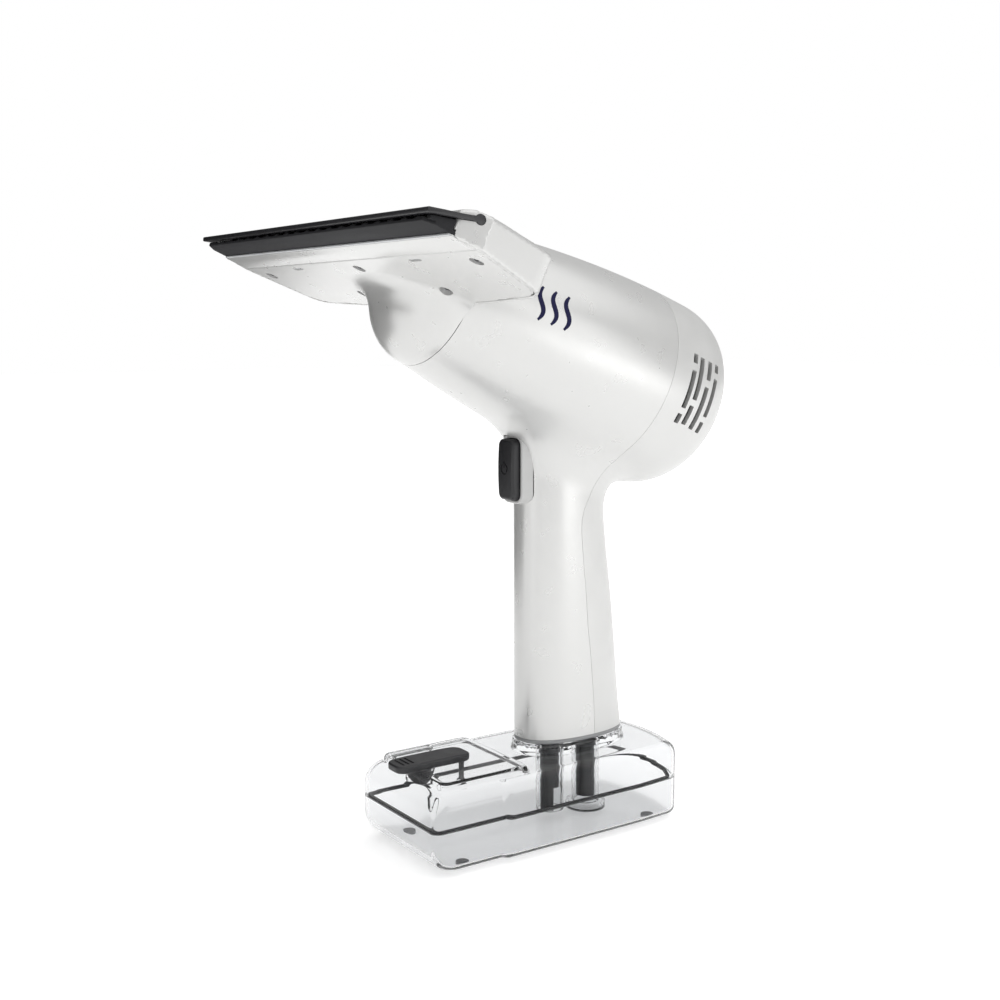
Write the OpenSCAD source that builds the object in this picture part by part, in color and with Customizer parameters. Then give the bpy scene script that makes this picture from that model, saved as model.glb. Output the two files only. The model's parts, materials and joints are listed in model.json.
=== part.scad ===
// Handheld garment steamer: a wide steaming head on a barrel, an upright grip
// and a clear water tank that the steamer stands on.
// The origin is on the floor, under the middle of the overall box. +Z is up and -Y is the front.

/* [Barrel] */
// Greatest radius of the barrel
barrel_r = 44.9; // [42:0.1:47]
// Tilt of the barrel, front end up, in degrees
barrel_tilt = 20.8; // [16:0.1:24]
// Height at which the barrel's axis crosses the grip's axis
barrel_z = 220.7; // [214:0.1:226]
// Length from the grip's axis forward to the head's seam
barrel_front = 75.75; // [72:0.25:80]
// Length from the grip's axis back to the end of the dome
barrel_rear = 78.7; // [74:0.1:84]
// Wall of the two housings
wall = 2.4; // [1.8:0.1:3]

/* [Grip] */
// Distance from the middle of the overall box back to the grip's axis
grip_y = 28.75; // [20:0.25:36]
// Half of the grip's width
grip_half_w = 15.8; // [14:0.1:18]
// Height of the grip's lower end
grip_z = 44; // [42.4:0.1:48]
// How far the push button travels
button_travel = 2.5; // [1:0.1:3]

/* [Head] */
// Tilt of the head's flat underside, front edge up, in degrees
head_tilt = 24; // [21:0.1:27]
// Height at which the underside's plane crosses the grip's axis
head_z = 210.2; // [208:0.1:212]
// Half of the head's greatest width
head_half_w = 99.5; // [88:0.5:110]
// Thickness of the head at its front edge
head_front_t = 10.4; // [9.5:0.1:13]
// Thickness of the head at its rear corners
head_rear_t = 16.5; // [14:0.1:20]
// Number of spacer ribs on the lower lip
rib_count = 20; // [8:1:28]

/* [Tank] */
// Half of the tank's width along its front part
tank_half_w = 32.3; // [30:0.1:36]
// How much wider each side is along its rear part
tank_jog = 2.2; // [0:0.1:4]
// Distance from the grip's axis to the tank's front face
tank_front = 91; // [86:0.5:100]
// Distance from the grip's axis to the tank's rear face
tank_rear = 52; // [48:0.5:60]
// Height of the tank's front part
tank_top = 40.2; // [39:0.1:41]
// Height of the seal between the two halves
seal_z = 20.4; // [16:0.1:24]
// Thickness of the clear walls
tank_wall = 2; // [1.4:0.1:2.6]

/* [Hidden] */

white = "#eceae6";
matt_white = "#dddcd8";
black = "#2b2b2c";
dark_grey = "#46474a";
mid_grey = "#8a8b8d";
clear = [0.86, 0.9, 0.92, 0.35];
steel = "#b9bcc0";
alloy = "#a9adb1";
brass = "#c2a45a";
rubber = "#3a3b3d";
silicone = "#d9d6cc";
board_green = "#2c6b45";

run_gap = 0.05;         // radial gap of a running or push fit
part_gap = 0.3;         // gap between pieces that move past each other
seam_gap = 0.2;         // visible seam between the two housings
floor_z = 0.6;          // underside of the tank, above the feet's faces
step_z = 38.6;          // height of the tank's rear part
step_y = -37;           // where the tank's top steps down
seal_half = 0.7;        // half of the seal's height
end_plate_t = 2;        // thickness of the plate under the grip
pickup_y = -7.2;        // place of the pick-up tube, from the grip's axis
return_y = 14.2;        // place of the return tube, from the grip's axis
tube_r = 4.5;
tube_top_z = 50;
sleeve_bore_r = 5.4;
sleeve_r = 6.6;
sleeve_foot_z = 6.2;
plug_y = -78.5;         // middle of the filler plug's stopper
pin_y = -57;            // middle of the filler plug's anchor pin
stopper_r = 6.2;
spigot_bore_r = 9;
spigot_r = 14;
flange_r = 27.4;        // flange that closes the head at the neck
button_z = 169.7;       // middle height of the button
button_w = 12;
button_h = 27.5;
button_face_y = -33.5;
bezel_face_y = -29.2;
bezel_back_y = -22.7;
inlet_w = 20;
inlet_h = 13;
inlet_face = 77.6;      // how far back the inlet's face is along the barrel's axis

// ---------- frames ----------

// Grip's frame: Z is the grip's axis
module on_grip() translate([0, grip_y, 0]) children();

// Barrel's frame: Z runs forward along the barrel's axis, Y is up, from the grip's axis
module on_barrel(forward = 0)
    on_grip() translate([0, 0, barrel_z]) rotate([90 - barrel_tilt, 0, 0])
        translate([0, 0, forward]) children();

// Head's frame: Z is square to the flat underside, Y runs back along it
module on_head() on_grip() translate([0, 0, head_z]) rotate([-head_tilt, 0, 0]) children();

// ---------- shared shapes ----------

// Solid skinned over a stack of rings that have the same number of points
module loft(rings) {
    n = len(rings[0]);
    last = len(rings) - 1;
    polyhedron(
        points = [for (ring = rings, p = ring) p],
        faces = concat(
            [[for (i = [0:n - 1]) i]],
            [for (k = [0:last - 1], i = [0:n - 1]) [k * n + i, (k + 1) * n + i, (k + 1) * n + (i + 1) % n]],
            [for (k = [0:last - 1], i = [0:n - 1]) [k * n + i, (k + 1) * n + (i + 1) % n, k * n + (i + 1) % n]],
            [[for (i = [n - 1:-1:0]) last * n + i]]
        )
    );
}

// Round tube swept along a route of points, used for hoses and wires
function unit(v) = v / norm(v);
function route_dir(route, i) =
    unit(route[min(i + 1, len(route) - 1)] - route[max(i - 1, 0)]);
function route_ring(centre, dir, r, sides) =
    let (u = unit(cross(dir, [0.9, 0.1, 0.4])), v = cross(dir, u))
    [for (i = [0:sides - 1]) centre + r * (cos(360 * i / sides) * v + sin(360 * i / sides) * u)];
// Points along smooth curves through the hand-chosen points
function bend(p, i, t) =
    let (a = p[max(i - 1, 0)], b = p[i], c = p[i + 1], d = p[min(i + 2, len(p) - 1)])
    0.5 * (2 * b + (c - a) * t + (2 * a - 5 * b + 4 * c - d) * t * t + (3 * b - a - 3 * c + d) * t * t * t);
function smooth_route(p, steps = 4) =
    concat([for (i = [0:len(p) - 2], k = [0:steps - 1]) bend(p, i, k / steps)], [p[len(p) - 1]]);
module hose(points, r, sides = 10) {
    route = smooth_route(points);
    loft([for (i = [0:len(route) - 1]) route_ring(route[i], route_dir(route, i), r, sides)]);
}

module rounded_rect(w, h, r) {
    square([w - 2 * r, h], center = true);
    square([w, h - 2 * r], center = true);
    for (x = [-1, 1], y = [-1, 1])
        translate([x * (w / 2 - r), y * (h / 2 - r)]) circle(r, $fn = 32);
}

module tube(outer, inner, length, fn = 48)
    rotate_extrude($fn = fn) translate([inner, 0]) square([outer - inner, length]);

// Pan-head screw with its head's underside at z = 0 and its shank below
module pan_screw(shank_r, length, head_r = 2.6, head_t = 1.6) {
    translate([0, 0, -length]) cylinder(r = shank_r, h = length + 0.01, $fn = 24);
    difference() {
        cylinder(r = head_r, h = head_t, $fn = 32);
        for (a = [0, 90])
            rotate([0, 0, a]) translate([-0.4, -head_r * 0.7, head_t - 0.7]) cube([0.8, head_r * 1.4, 1]);
    }
}

// ---------- barrel and grip ----------

// Radius of the barrel at a distance s behind the grip's axis: a long taper, then a full round dome
taper_from = 38;
dome_from = 46;
function taper(s) = 0.00217 * pow(max(taper_from - s, 0), 1.829);
function dome(s) = pow(max(1 - pow(max(s - dome_from, 0) / (barrel_rear - dome_from), 2.4), 0), 1 / 2.4);
function radius_at(s) = (barrel_r - taper(s)) * dome(s);

taper_steps = 11;
dome_steps = 10;
function stations() = concat(
    [for (i = [0:taper_steps]) -barrel_front + i * (taper_from + barrel_front) / taper_steps],
    [for (i = [0:dome_steps]) dome_from + (barrel_rear - dome_from) * sin(90 * i / dome_steps)]
);

// The barrel as a solid of revolution, with its skin moved in by inset
module barrel_solid(inset = 0) {
    reach = (barrel_rear - inset) / barrel_rear;
    on_barrel() rotate_extrude($fn = 72)
        polygon(concat(
            [[0, barrel_front + (inset > 0 ? 1 : 0)],
             [radius_at(-barrel_front) - inset, barrel_front + (inset > 0 ? 1 : 0)]],
            [for (s = stations()) [max(radius_at(s) - inset, 0), -s * (s > 0 ? reach : 1)]]
        ));
}

// Grip sections: [height, front, rear, half width]
grip_rear_foot = 32;
grip_rear_waist = 19.7;
grip_front = -24.8;
grip_sections = [
    [grip_z, grip_front, grip_rear_foot, grip_half_w],
    [60, grip_front, 30, grip_half_w],
    [80, grip_front, 27.6, grip_half_w],
    [100, grip_front, 25.6, grip_half_w - 0.1],
    [120, grip_front, 23.3, grip_half_w - 0.2],
    [138, grip_front, 20.4, grip_half_w - 0.2],
    [148, grip_front, grip_rear_waist, grip_half_w],
    [156, grip_front - 0.2, 22, grip_half_w + 0.8],
    [163, grip_front - 1, 26.5, grip_half_w + 2.4],
    [171, grip_front - 3, 32, grip_half_w + 6],
    [182, grip_front - 6, 34, grip_half_w + 12],
    [200, grip_front - 4, 32, grip_half_w + 14]
];
grip_points = 48;
function bulge(c) = sign(c) * pow(abs(c), 2 / 2.3);
function grip_outline(front, rear, half_w) =
    [for (i = [0:grip_points - 1])
        let (a = 360 * i / grip_points)
        [half_w * bulge(cos(a)), (front + rear) / 2 + (rear - front) / 2 * bulge(sin(a))]];

module grip_slice(section, inset)
    translate([0, 0, section[0] - 0.01]) linear_extrude(0.02)
        polygon(grip_outline(section[1] + inset, section[2] - inset, section[3] - inset));

module grip_solid(inset = 0)
    on_grip() for (i = [0:len(grip_sections) - 2])
        hull() {
            grip_slice(grip_sections[i], inset);
            grip_slice(grip_sections[i + 1], inset);
        }

// Region behind the seam: a square cut across the barrel, then a curve down the grip's sides
seam_barrel = 28.5;
function barrel_point(s, up) =
    [s * cos(barrel_tilt) + up * sin(barrel_tilt), barrel_z - s * sin(barrel_tilt) + up * cos(barrel_tilt)];
seam_line = [
    barrel_point(seam_barrel, 80), barrel_point(seam_barrel, -38),
    [7, 163], [1.2, 154], [-1.3, 146], [-0.8, 136], [1.6, 112], [5.4, 76], [8, grip_z - 2]
];
module behind_seam(gap = 0)
    on_grip() translate([0, gap, 0]) rotate([90, 0, 90]) translate([0, 0, -60]) linear_extrude(120)
        polygon(concat(seam_line, [[110, grip_z - 2], [110, 320]]));

module housing_shell() {
    difference() {
        union() { barrel_solid(); grip_solid(); }
        barrel_solid(wall);
        grip_solid(wall);
        // the grip's foot is open for the end plate
        on_grip() translate([0, 0, grip_z - 1]) linear_extrude(3)
            polygon(grip_outline(grip_front + wall, grip_rear_foot - wall, grip_half_w - wall));
    }
}

foot_screws = [[-16.6, 1], [23.6, -1]];   // [y, side of the seam] of the screws through the end plate
foot_screw_seat = grip_z - end_plate_t + 1.7;
boss_z = grip_z + 4.1;
// Bosses in the grip's foot that the end plate is screwed to, tied to the housing's wall by a rib
module foot_boss(p)
    difference() {
        intersection() {
            grip_solid(0.6);
            on_grip() union() {
                translate([0, p[0], boss_z]) cylinder(r = 3, h = 9, $fn = 24);
                translate([-1, p[1] > 0 ? p[0] - 12 : p[0], boss_z]) cube([2, 12, 9]);
            }
        }
        on_grip() translate([0, p[0], boss_z - 1]) cylinder(r = 1.55, h = 12, $fn = 24);
    }

module front_housing() color(white)
    difference() {
        union() {
            housing_shell();
            foot_boss(foot_screws[0]);
        }
        behind_seam(0);
        // opening for the button's bezel
        on_grip() translate([0, -40, button_z]) rotate([-90, 0, 0]) linear_extrude(21)
            rounded_rect(16.4, 31.4, 5);
    }

// Vent slots: [distance back, list of [from, to] angles measured from the top]
vent_columns = [
    [40.1, [[69, 75], [79.5, 102.4], [106, 112]]],
    [44.4, [[69.5, 95.6], [99.2, 111.1]]],
    [49.6, [[69.6, 81.4], [85.6, 112]]],
    [54.6, [[69, 74.5], [78.3, 102], [105.4, 112.5]]]
];
vent_w = 2.7;
module vent_slots()
    on_barrel() for (side = [0, 1], column = vent_columns, span = column[1])
        mirror([side, 0, 0]) translate([0, 0, -column[0] - vent_w / 2])
            rotate([0, 0, 90 - span[1]]) rotate_extrude(angle = span[1] - span[0], $fn = 72)
                translate([34, 0]) square([16, vent_w]);

board_y = -14;          // height of the board above the barrel's axis
board_posts = [for (x = [-20, 20], f = [-52, -31.8]) [x, f]];
module rear_housing() color(matt_white)
    difference() {
        union() {
            intersection() { housing_shell(); behind_seam(seam_gap); }
            // posts that carry the control board
            intersection() {
                barrel_solid(0.6);
                on_barrel() for (p = board_posts)
                    translate([p[0], board_y - part_gap / 6, p[1]]) rotate([90, 0, 0])
                        cylinder(r = 3, h = 40, $fn = 20);
            }
            foot_boss(foot_screws[1]);
        }
        on_barrel() for (p = board_posts)
            translate([p[0], board_y + 1, p[1]]) rotate([90, 0, 0]) cylinder(r = 1.3, h = 9, $fn = 20);
        vent_slots();
        on_barrel(-inlet_face - 6) linear_extrude(30)
            rounded_rect(inlet_w + 0.4, inlet_h + 0.4, 2.2);
    }

// Thin dark screens behind the vent slots
screen_from = 37;
screen_to = 58;
screen_steps = 7;
module vent_screens() color(dark_grey)
    on_barrel() for (side = [0, 1])
        mirror([side, 0, 0]) rotate([0, 0, -27]) rotate_extrude(angle = 54, $fn = 72)
            polygon(concat(
                [for (i = [0:screen_steps]) let (s = screen_from + i * (screen_to - screen_from) / screen_steps)
                    [radius_at(s) - wall - 1, -s]],
                [for (i = [screen_steps:-1:0]) let (s = screen_from + i * (screen_to - screen_from) / screen_steps)
                    [radius_at(s) - wall - 1.8, -s]]
            ));

module housing_screws() color(steel)
    on_grip() for (p = foot_screws)
        translate([0, p[0], foot_screw_seat]) mirror([0, 0, 1]) pan_screw(1.5, 11);

module grip_end_plate() color(mid_grey)
    on_grip() difference() {
        union() {
            translate([0, 0, grip_z - end_plate_t]) linear_extrude(end_plate_t)
                polygon(grip_outline(grip_front, grip_rear_foot, grip_half_w));
            translate([0, 0, grip_z - 0.01]) linear_extrude(4)
                polygon(grip_outline(grip_front + 4.6, grip_rear_foot - 5.4, grip_half_w - 3.2));
        }
        for (y = [pickup_y, return_y])
            translate([0, y, 0]) cylinder(r = tube_r + run_gap, h = 60, $fn = 48);
        for (p = foot_screws) translate([0, p[0], 0]) {
            cylinder(r = 1.7, h = 60, $fn = 24);
            cylinder(r = 2.8, h = foot_screw_seat, $fn = 32);
        }
    }

// ---------- button ----------

module face_forward(y) on_grip() translate([0, y, button_z]) rotate([-90, 0, 0]) children();

module button_bezel() color(white)
    face_forward(bezel_face_y) difference() {
        linear_extrude(bezel_back_y - bezel_face_y) rounded_rect(16, 31, 4.8);
        translate([0, 0, -1]) linear_extrude(20)
            rounded_rect(button_w + 2 * part_gap, button_h + 2 * part_gap, 3.3);
    }

button_back_y = bezel_back_y + part_gap;
module power_button() color(black) {
    difference() {
        face_forward(button_face_y) linear_extrude(button_back_y - button_face_y + 0.5)
            rounded_rect(button_w, button_h, 3);
        // shallow ring and stroke that mark the switch
        face_forward(button_face_y - 0.1) {
            difference() { cylinder(r = 2.6, h = 0.5, $fn = 32); cylinder(r = 1.9, h = 0.5, $fn = 32); }
            translate([-0.35, -3.4, 0]) cube([0.7, 3, 0.5]);
        }
    }
    // rim that holds the button behind the bezel, and the stem that reaches for the switch
    face_forward(button_back_y) linear_extrude(1.4) rounded_rect(14, 29.4, 3.5);
    face_forward(button_back_y + 1.4) cylinder(r = 1.8, h = 1.7, $fn = 32);
}

spring_z = 158;
spring_front_y = button_back_y + 1.4;
spring_back_y = -13;
module button_spring() color(steel)
    on_grip() translate([0, spring_front_y, spring_z]) rotate([-90, 0, 0])
        tube(3, 2.3, spring_back_y - spring_front_y, 32);

switch_front_y = spring_front_y + 1.7 + button_travel + part_gap;
module microswitch() color(black)
    on_grip() {
        translate([-3.2, switch_front_y + 0.7, 163.5]) cube([6.4, 8.6, 14]);
        translate([0, switch_front_y, button_z]) rotate([-90, 0, 0]) cylinder(r = 1.4, h = 0.71, $fn = 24);
    }

module switch_bracket() color(dark_grey)
    on_grip() {
        translate([-9, switch_front_y + 9.35, 152]) cube([18, 2.4, 30]);
        translate([0, spring_back_y, spring_z]) rotate([-90, 0, 0])
            cylinder(r = 3.8, h = switch_front_y + 9.36 - spring_back_y, $fn = 32);
    }

// ---------- water side ----------

module pickup_tube() color(dark_grey)
    on_grip() translate([0, pickup_y, 0]) difference() {
        translate([0, 0, sleeve_foot_z]) cylinder(r = tube_r, h = tube_top_z - sleeve_foot_z, $fn = 48);
        translate([0, 0, sleeve_foot_z - 1]) cylinder(r = 2, h = 60, $fn = 32);
        // window in the foot that lets water in
        rotate([0, 0, 55.5]) translate([1.6, -6, sleeve_foot_z - 1]) cube([6, 12, 12]);
    }

module return_tube() color(dark_grey)
    on_grip() translate([0, return_y, 9]) tube(tube_r, 2.4, tube_top_z - 9);

module tube_collars() color(black)
    on_grip() for (y = [pickup_y, return_y])
        translate([0, y, 33.5]) tube(5.1, tube_r + run_gap / 5, 3);

pump_y = 1;
module pump() color(dark_grey)
    on_grip() translate([0, pump_y, 0]) {
        translate([0, 0, 80]) cylinder(r = 11.3, h = 32, $fn = 64);
        translate([0, 0, 64]) cylinder(r = 7, h = 16.01, $fn = 48);
        translate([0, 0, 58]) cylinder(r = 2.5, h = 6.01, $fn = 32);
        translate([0, 0, 111.99]) cylinder(r = 6, h = 12, $fn = 48);
        translate([0, 0, 123.98]) cylinder(r = 2.5, h = 6, $fn = 32);
    }

module pump_mounts() color(rubber)
    on_grip() translate([0, pump_y, 0]) {
        translate([0, 0, 68]) tube(12.4, 7 + run_gap, 5);
        translate([0, 0, 115]) tube(12.2, 6 + run_gap, 5);
    }

module suction_hose() color(silicone)
    on_grip() hose([
        [0, pickup_y, tube_top_z + 0.3], [0, pickup_y, tube_top_z + 1.2], [0, pickup_y + 1.8, 53],
        [0, -1.2, 54.4], [0, pump_y, 56.2], [0, pump_y, 57.2]
    ], 2.2);

heater_back = 2;        // heater's rear face, forward of the grip's axis along the barrel
stub_x = 9;
stub_up = -8;
// Point in the grip's frame from a point in the barrel's frame
function from_barrel(x, up, forward) =
    let (p = barrel_point(-forward, up)) [x, p[0], p[1]];

module feed_hose() color(silicone)
    on_grip() hose([
        [0, pump_y, 130.2], [0, pump_y, 131.5], [-1, pump_y + 0.4, 135], [-6, 4, 150], [-9, 8, 180],
        from_barrel(-stub_x, stub_up - 6, -15), from_barrel(-stub_x, stub_up, -9),
        from_barrel(-stub_x, stub_up, -4.2)
    ], 2.4);

module return_hose() color(silicone)
    on_grip() hose([
        [0, return_y, tube_top_z + 0.05], [0, return_y, 52], [3.5, 14.6, 59], [7.5, 14.4, 68],
        [7.5, 14.4, 90], [7.5, 14.4, 118], [7, 11.5, 134], [6.5, 9, 152], [9, 10, 182],
        from_barrel(stub_x, stub_up - 6, -15), from_barrel(stub_x, stub_up, -9),
        from_barrel(stub_x, stub_up, -4.2)
    ], 2.4);

// ---------- steam side ----------

heater_r = 22;
heater_l = 44;
module heater_block() color(alloy)
    on_barrel(heater_back) difference() {
        union() {
            cylinder(r = heater_r, h = heater_l, $fn = 64);
            for (x = [-stub_x, stub_x]) translate([x, stub_up, -6]) cylinder(r = 2, h = 6.01, $fn = 32);
        }
        translate([0, 0, 8]) cylinder(r = 15, h = heater_l, $fn = 64);
        for (x = [-stub_x, stub_x]) translate([x, stub_up, -7]) cylinder(r = 1, h = 16, $fn = 24);
        for (a = [45:90:315]) rotate([0, 0, a]) translate([18.5, 0, heater_l - 10])
            cylinder(r = 1.5, h = 11, $fn = 24);
        for (x = [-8, 8]) translate([x, -15, -1]) cylinder(r = 1.5, h = 7, $fn = 24);
    }

module heater_gasket() color(rubber)
    on_barrel(heater_back + heater_l) difference() {
        tube(heater_r, 15.5, 0.6, 64);
        for (a = [45:90:315]) rotate([0, 0, a]) translate([18.5, 0, -1]) cylinder(r = 1.6, h = 3, $fn = 24);
    }

cover_f = heater_back + heater_l + 0.6;
module heater_cover() color(alloy)
    on_barrel(cover_f) difference() {
        union() {
            cylinder(r = heater_r, h = 3.4, $fn = 64);
            cylinder(r = 4, h = 12, $fn = 48);
        }
        translate([0, 0, -1]) cylinder(r = 2.5, h = 20, $fn = 32);
        for (a = [45:90:315]) rotate([0, 0, a]) translate([18.5, 0, -1]) cylinder(r = 1.6, h = 6, $fn = 24);
    }

module heater_screws() color(steel)
    on_barrel(cover_f + 3.4) for (a = [45:90:315])
        rotate([0, 0, a]) translate([18.5, 0, 0]) pan_screw(1.45, 12);

module heater_terminals() color(brass)
    on_barrel(heater_back) for (x = [-8, 8]) {
        translate([x, -15, -7]) cylinder(r = 1.45, h = 12, $fn = 24);
    }

shield_r = 26.6;
module heat_shield() color(silicone)
    on_barrel(heater_back - 3) tube(shield_r, 25.6, heater_l + 8, 72);

module heater_cradles() color(dark_grey)
    for (f = [heater_back + 8, heater_back + 36])
        on_barrel(f) {
            tube(radius_at(-f - 3) - wall - 0.6, shield_r + run_gap, 3, 72);
            tube(25.6 - run_gap, heater_r + run_gap, 3, 72);
        }

module thermostat() color(black)
    on_barrel(heater_back - 5.05) translate([10, 8, 0]) {
        cylinder(r = 6.4, h = 5, $fn = 48);
        for (x = [-3, 3]) translate([x, 0, -4]) cylinder(r = 0.8, h = 4.01, $fn = 16);
    }

module thermal_fuse() color(steel)
    on_barrel(heater_back - 2.1) translate([-11, 2, 0]) rotate([-90, 0, 0]) {
        cylinder(r = 2, h = 11, $fn = 32);
        translate([0, 0, -3]) cylinder(r = 0.6, h = 17, $fn = 16);
    }

steam_from = cover_f + 6;
module steam_tube() color(silicone)
    on_barrel(steam_from) tube(6, 4 + run_gap, barrel_front + 4 - steam_from);

socket_f = barrel_front - 14;
module neck_socket() color(dark_grey)
    on_barrel(socket_f) rotate_extrude($fn = 72) polygon([
        [spigot_r + run_gap, 0], [17, 0], [17, 10.5],
        [radius_at(-barrel_front) - wall - 0.3, 10.5], [radius_at(-barrel_front) - wall - 0.3, 13.5],
        [spigot_r + run_gap, 13.5]
    ]);

// ---------- electrical side ----------

module control_board() color(board_green)
    on_barrel() translate([0, board_y, 0]) rotate([90, 0, 0]) mirror([0, 0, 1]) difference() {
        translate([-26, -58, 0]) cube([52, 36, 1.6]);
        for (p = board_posts) translate([p[0], p[1], -1]) cylinder(r = 1.6, h = 4, $fn = 24);
    }

module on_board() on_barrel() translate([0, board_y + 1.65, 0]) rotate([-90, 0, 0]) children();
module board_parts() color(dark_grey)
    on_board() {
        translate([-12, 30, 0]) cube([15, 19, 12]);
        translate([10, 34, 0]) cylinder(r = 5, h = 14, $fn = 32);
        translate([10, 47, 0]) cylinder(r = 4, h = 11, $fn = 32);
        translate([-24, 35, 0]) cube([7, 11, 9]);
    }

module board_screws() color(steel)
    on_board() for (p = board_posts) translate([p[0], -p[1], 0]) mirror([0, 0, 1]) rotate([180, 0, 0])
        pan_screw(1.2, 7);

module power_inlet() color(black)
    on_barrel(-inlet_face) difference() {
        linear_extrude(16) rounded_rect(inlet_w, inlet_h, 2);
        translate([0, 0, -1]) linear_extrude(12) rounded_rect(14.6, 8.4, 4.15);
        for (x = [-3.3, 3.3]) translate([x, 0, 8]) cylinder(r = 1.1 + run_gap, h = 9, $fn = 24);
    }

// The two contact pins that stand in the inlet's recess
module inlet_pins() color(brass)
    on_barrel(-inlet_face + 3) for (x = [-3.3, 3.3]) translate([x, 0, 0]) cylinder(r = 1.1, h = 15, $fn = 24);

module wiring() color(black) on_grip() {
    hose([from_barrel(-3.3, 0, -59.4), from_barrel(-5, 1, -56), from_barrel(-22.5, 4, -50),
          from_barrel(-22.5, 4, -36), from_barrel(-18, -2, -20), from_barrel(-14, -15, -12),
          from_barrel(-8, -15, -7), from_barrel(-8, -15, -5.4)], 1.1, 8);
    hose([from_barrel(3.3, 0, -59.4), from_barrel(5, 1, -56), from_barrel(22, 6, -48),
          from_barrel(22, 6, -34), from_barrel(18, -4, -20), from_barrel(13, -15, -12),
          from_barrel(8, -15, -7), from_barrel(8, -15, -5.4)], 1.1, 8);
    hose([[0, 0.2, 186], [0, -1, 184], [0, -3.5, 176], [0, switch_front_y + 11.85 + 1.3, 170],
          [0, switch_front_y + 11.85 + 1.3, 166]], 1.1, 8);
}

// ---------- head ----------

head_front = -134.2;    // front face, measured along the underside from the grip's axis
ridge_y = -122;
head_back = -78.4;
corner_from = -95;      // the rear corners start to turn here
lip_t = 1.7;            // thickness of the lower lip
lip_z = 0.8;            // underside of the lower lip above the head's underside
// Half width of the head at a distance y along its underside
function half_w_at(y) =
    y < ridge_y ? head_half_w - 2.5 * (ridge_y - y) / (ridge_y - head_front)
    : y < corner_from ? head_half_w - 7 * (y - ridge_y) / (corner_from - ridge_y)
    : head_half_w - 7 - 10.5 * (1 - sqrt(max(1 - pow((y - corner_from) / 11, 2), 0)));
function back_at(x) = head_back - 5 * pow(x / 80, 2);
// Height of the head's rear edge: low over the wings, and up to the barrel's top at the neck
function hump_at(x) = head_rear_t + 21.5 * exp(-pow(abs(x) / 26, 2.4));
corner_y = [-134.2, -130, -126, ridge_y, -114, -104, corner_from, -91, -88, -86, -84.6];

// Outline of the head seen square to its underside, moved in by inset
module head_outline(inset = 0) {
    steps = 12;
    right = [for (y = corner_y) [half_w_at(y) - inset, y + (y == head_front ? inset : 0)]];
    back = [for (i = [steps:-1:-steps]) let (x = (i / steps) * 81) [x, back_at(x) - inset]];
    left = [for (i = [len(corner_y) - 1:-1:0]) [-right[i][0], right[i][1]]];
    polygon(concat(right, back, left));
}

brow_y = -128.8;        // the roof's front slope ends here
brow_z = 12.7;
hump_rise = 4;          // extra height behind the seam, so that the roof meets the barrel at the seam
slice_x = [0, 7, 13, 18, 23, 28, 34, 42, 54, 70, 100];
module head_slice(x, inset)
    translate([x - 0.005, 0, 0]) rotate([90, 0, 90]) linear_extrude(0.01)
        polygon([
            [head_front - 1, 0], [head_front - 1, head_front_t - inset],
            [brow_y, brow_z - inset], [ridge_y, brow_z + 0.4 - inset], [back_at(0) + 6, hump_at(x) + hump_rise - inset],
            [back_at(0) + 6, 0]
        ]);

module head_top(inset)
    for (side = [0, 1], i = [0:len(slice_x) - 2])
        mirror([side, 0, 0]) hull() {
            head_slice(slice_x[i], inset);
            head_slice(slice_x[i + 1], inset);
        }

module head_block(inset, from_z)
    intersection() {
        translate([0, 0, from_z]) linear_extrude(60) head_outline(inset);
        head_top(inset);
    }

blade_t = 2;
bead_r = 2;
bead_y = -126.5;
bead_z = 10;
blade_tip_y = -147.4;
blade_tip_z = 3.6;
// Section of the wiping blade, grown by grow on every side
module blade_section(grow = 0) {
    lean = atan2(blade_tip_z - bead_z, blade_tip_y - bead_y) + 180;
    translate([bead_y, bead_z]) {
        circle(bead_r + grow, $fn = 32);
        rotate([0, 0, lean]) translate([-norm([blade_tip_y - bead_y, blade_tip_z - bead_z]), -blade_t / 2 - grow])
            square([norm([blade_tip_y - bead_y, blade_tip_z - bead_z]), blade_t + 2 * grow]);
    }
}
module along_width(half) rotate([90, 0, 90]) translate([0, 0, -half]) linear_extrude(2 * half) children();

plate_t = 2.4;
plate_front = -123.6;
plate_inset = 1.8;
screw_spots = [[-86, -115], [86, -115], [0, -116], [-34.5, -93.5], [34.5, -93.5]];
screw_seat = 1.8;       // height that the plate's screw heads bear on
clip_spots = [[-50, -119.4], [50, -119.4]];
module seam_cut() on_barrel(barrel_front + part_gap - 60) cylinder(r = 47, h = 60, $fn = 72);
module neck_bore(r) on_barrel(barrel_front - 6) cylinder(r = r, h = 9, $fn = 72);

module head_cover_skin()
    difference() {
        head_block(0, 0);
        difference() {
            head_block(wall, -5);
            translate([-120, head_front - 1, -6]) cube([240, 14.5, 40]);
        }
    }

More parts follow.
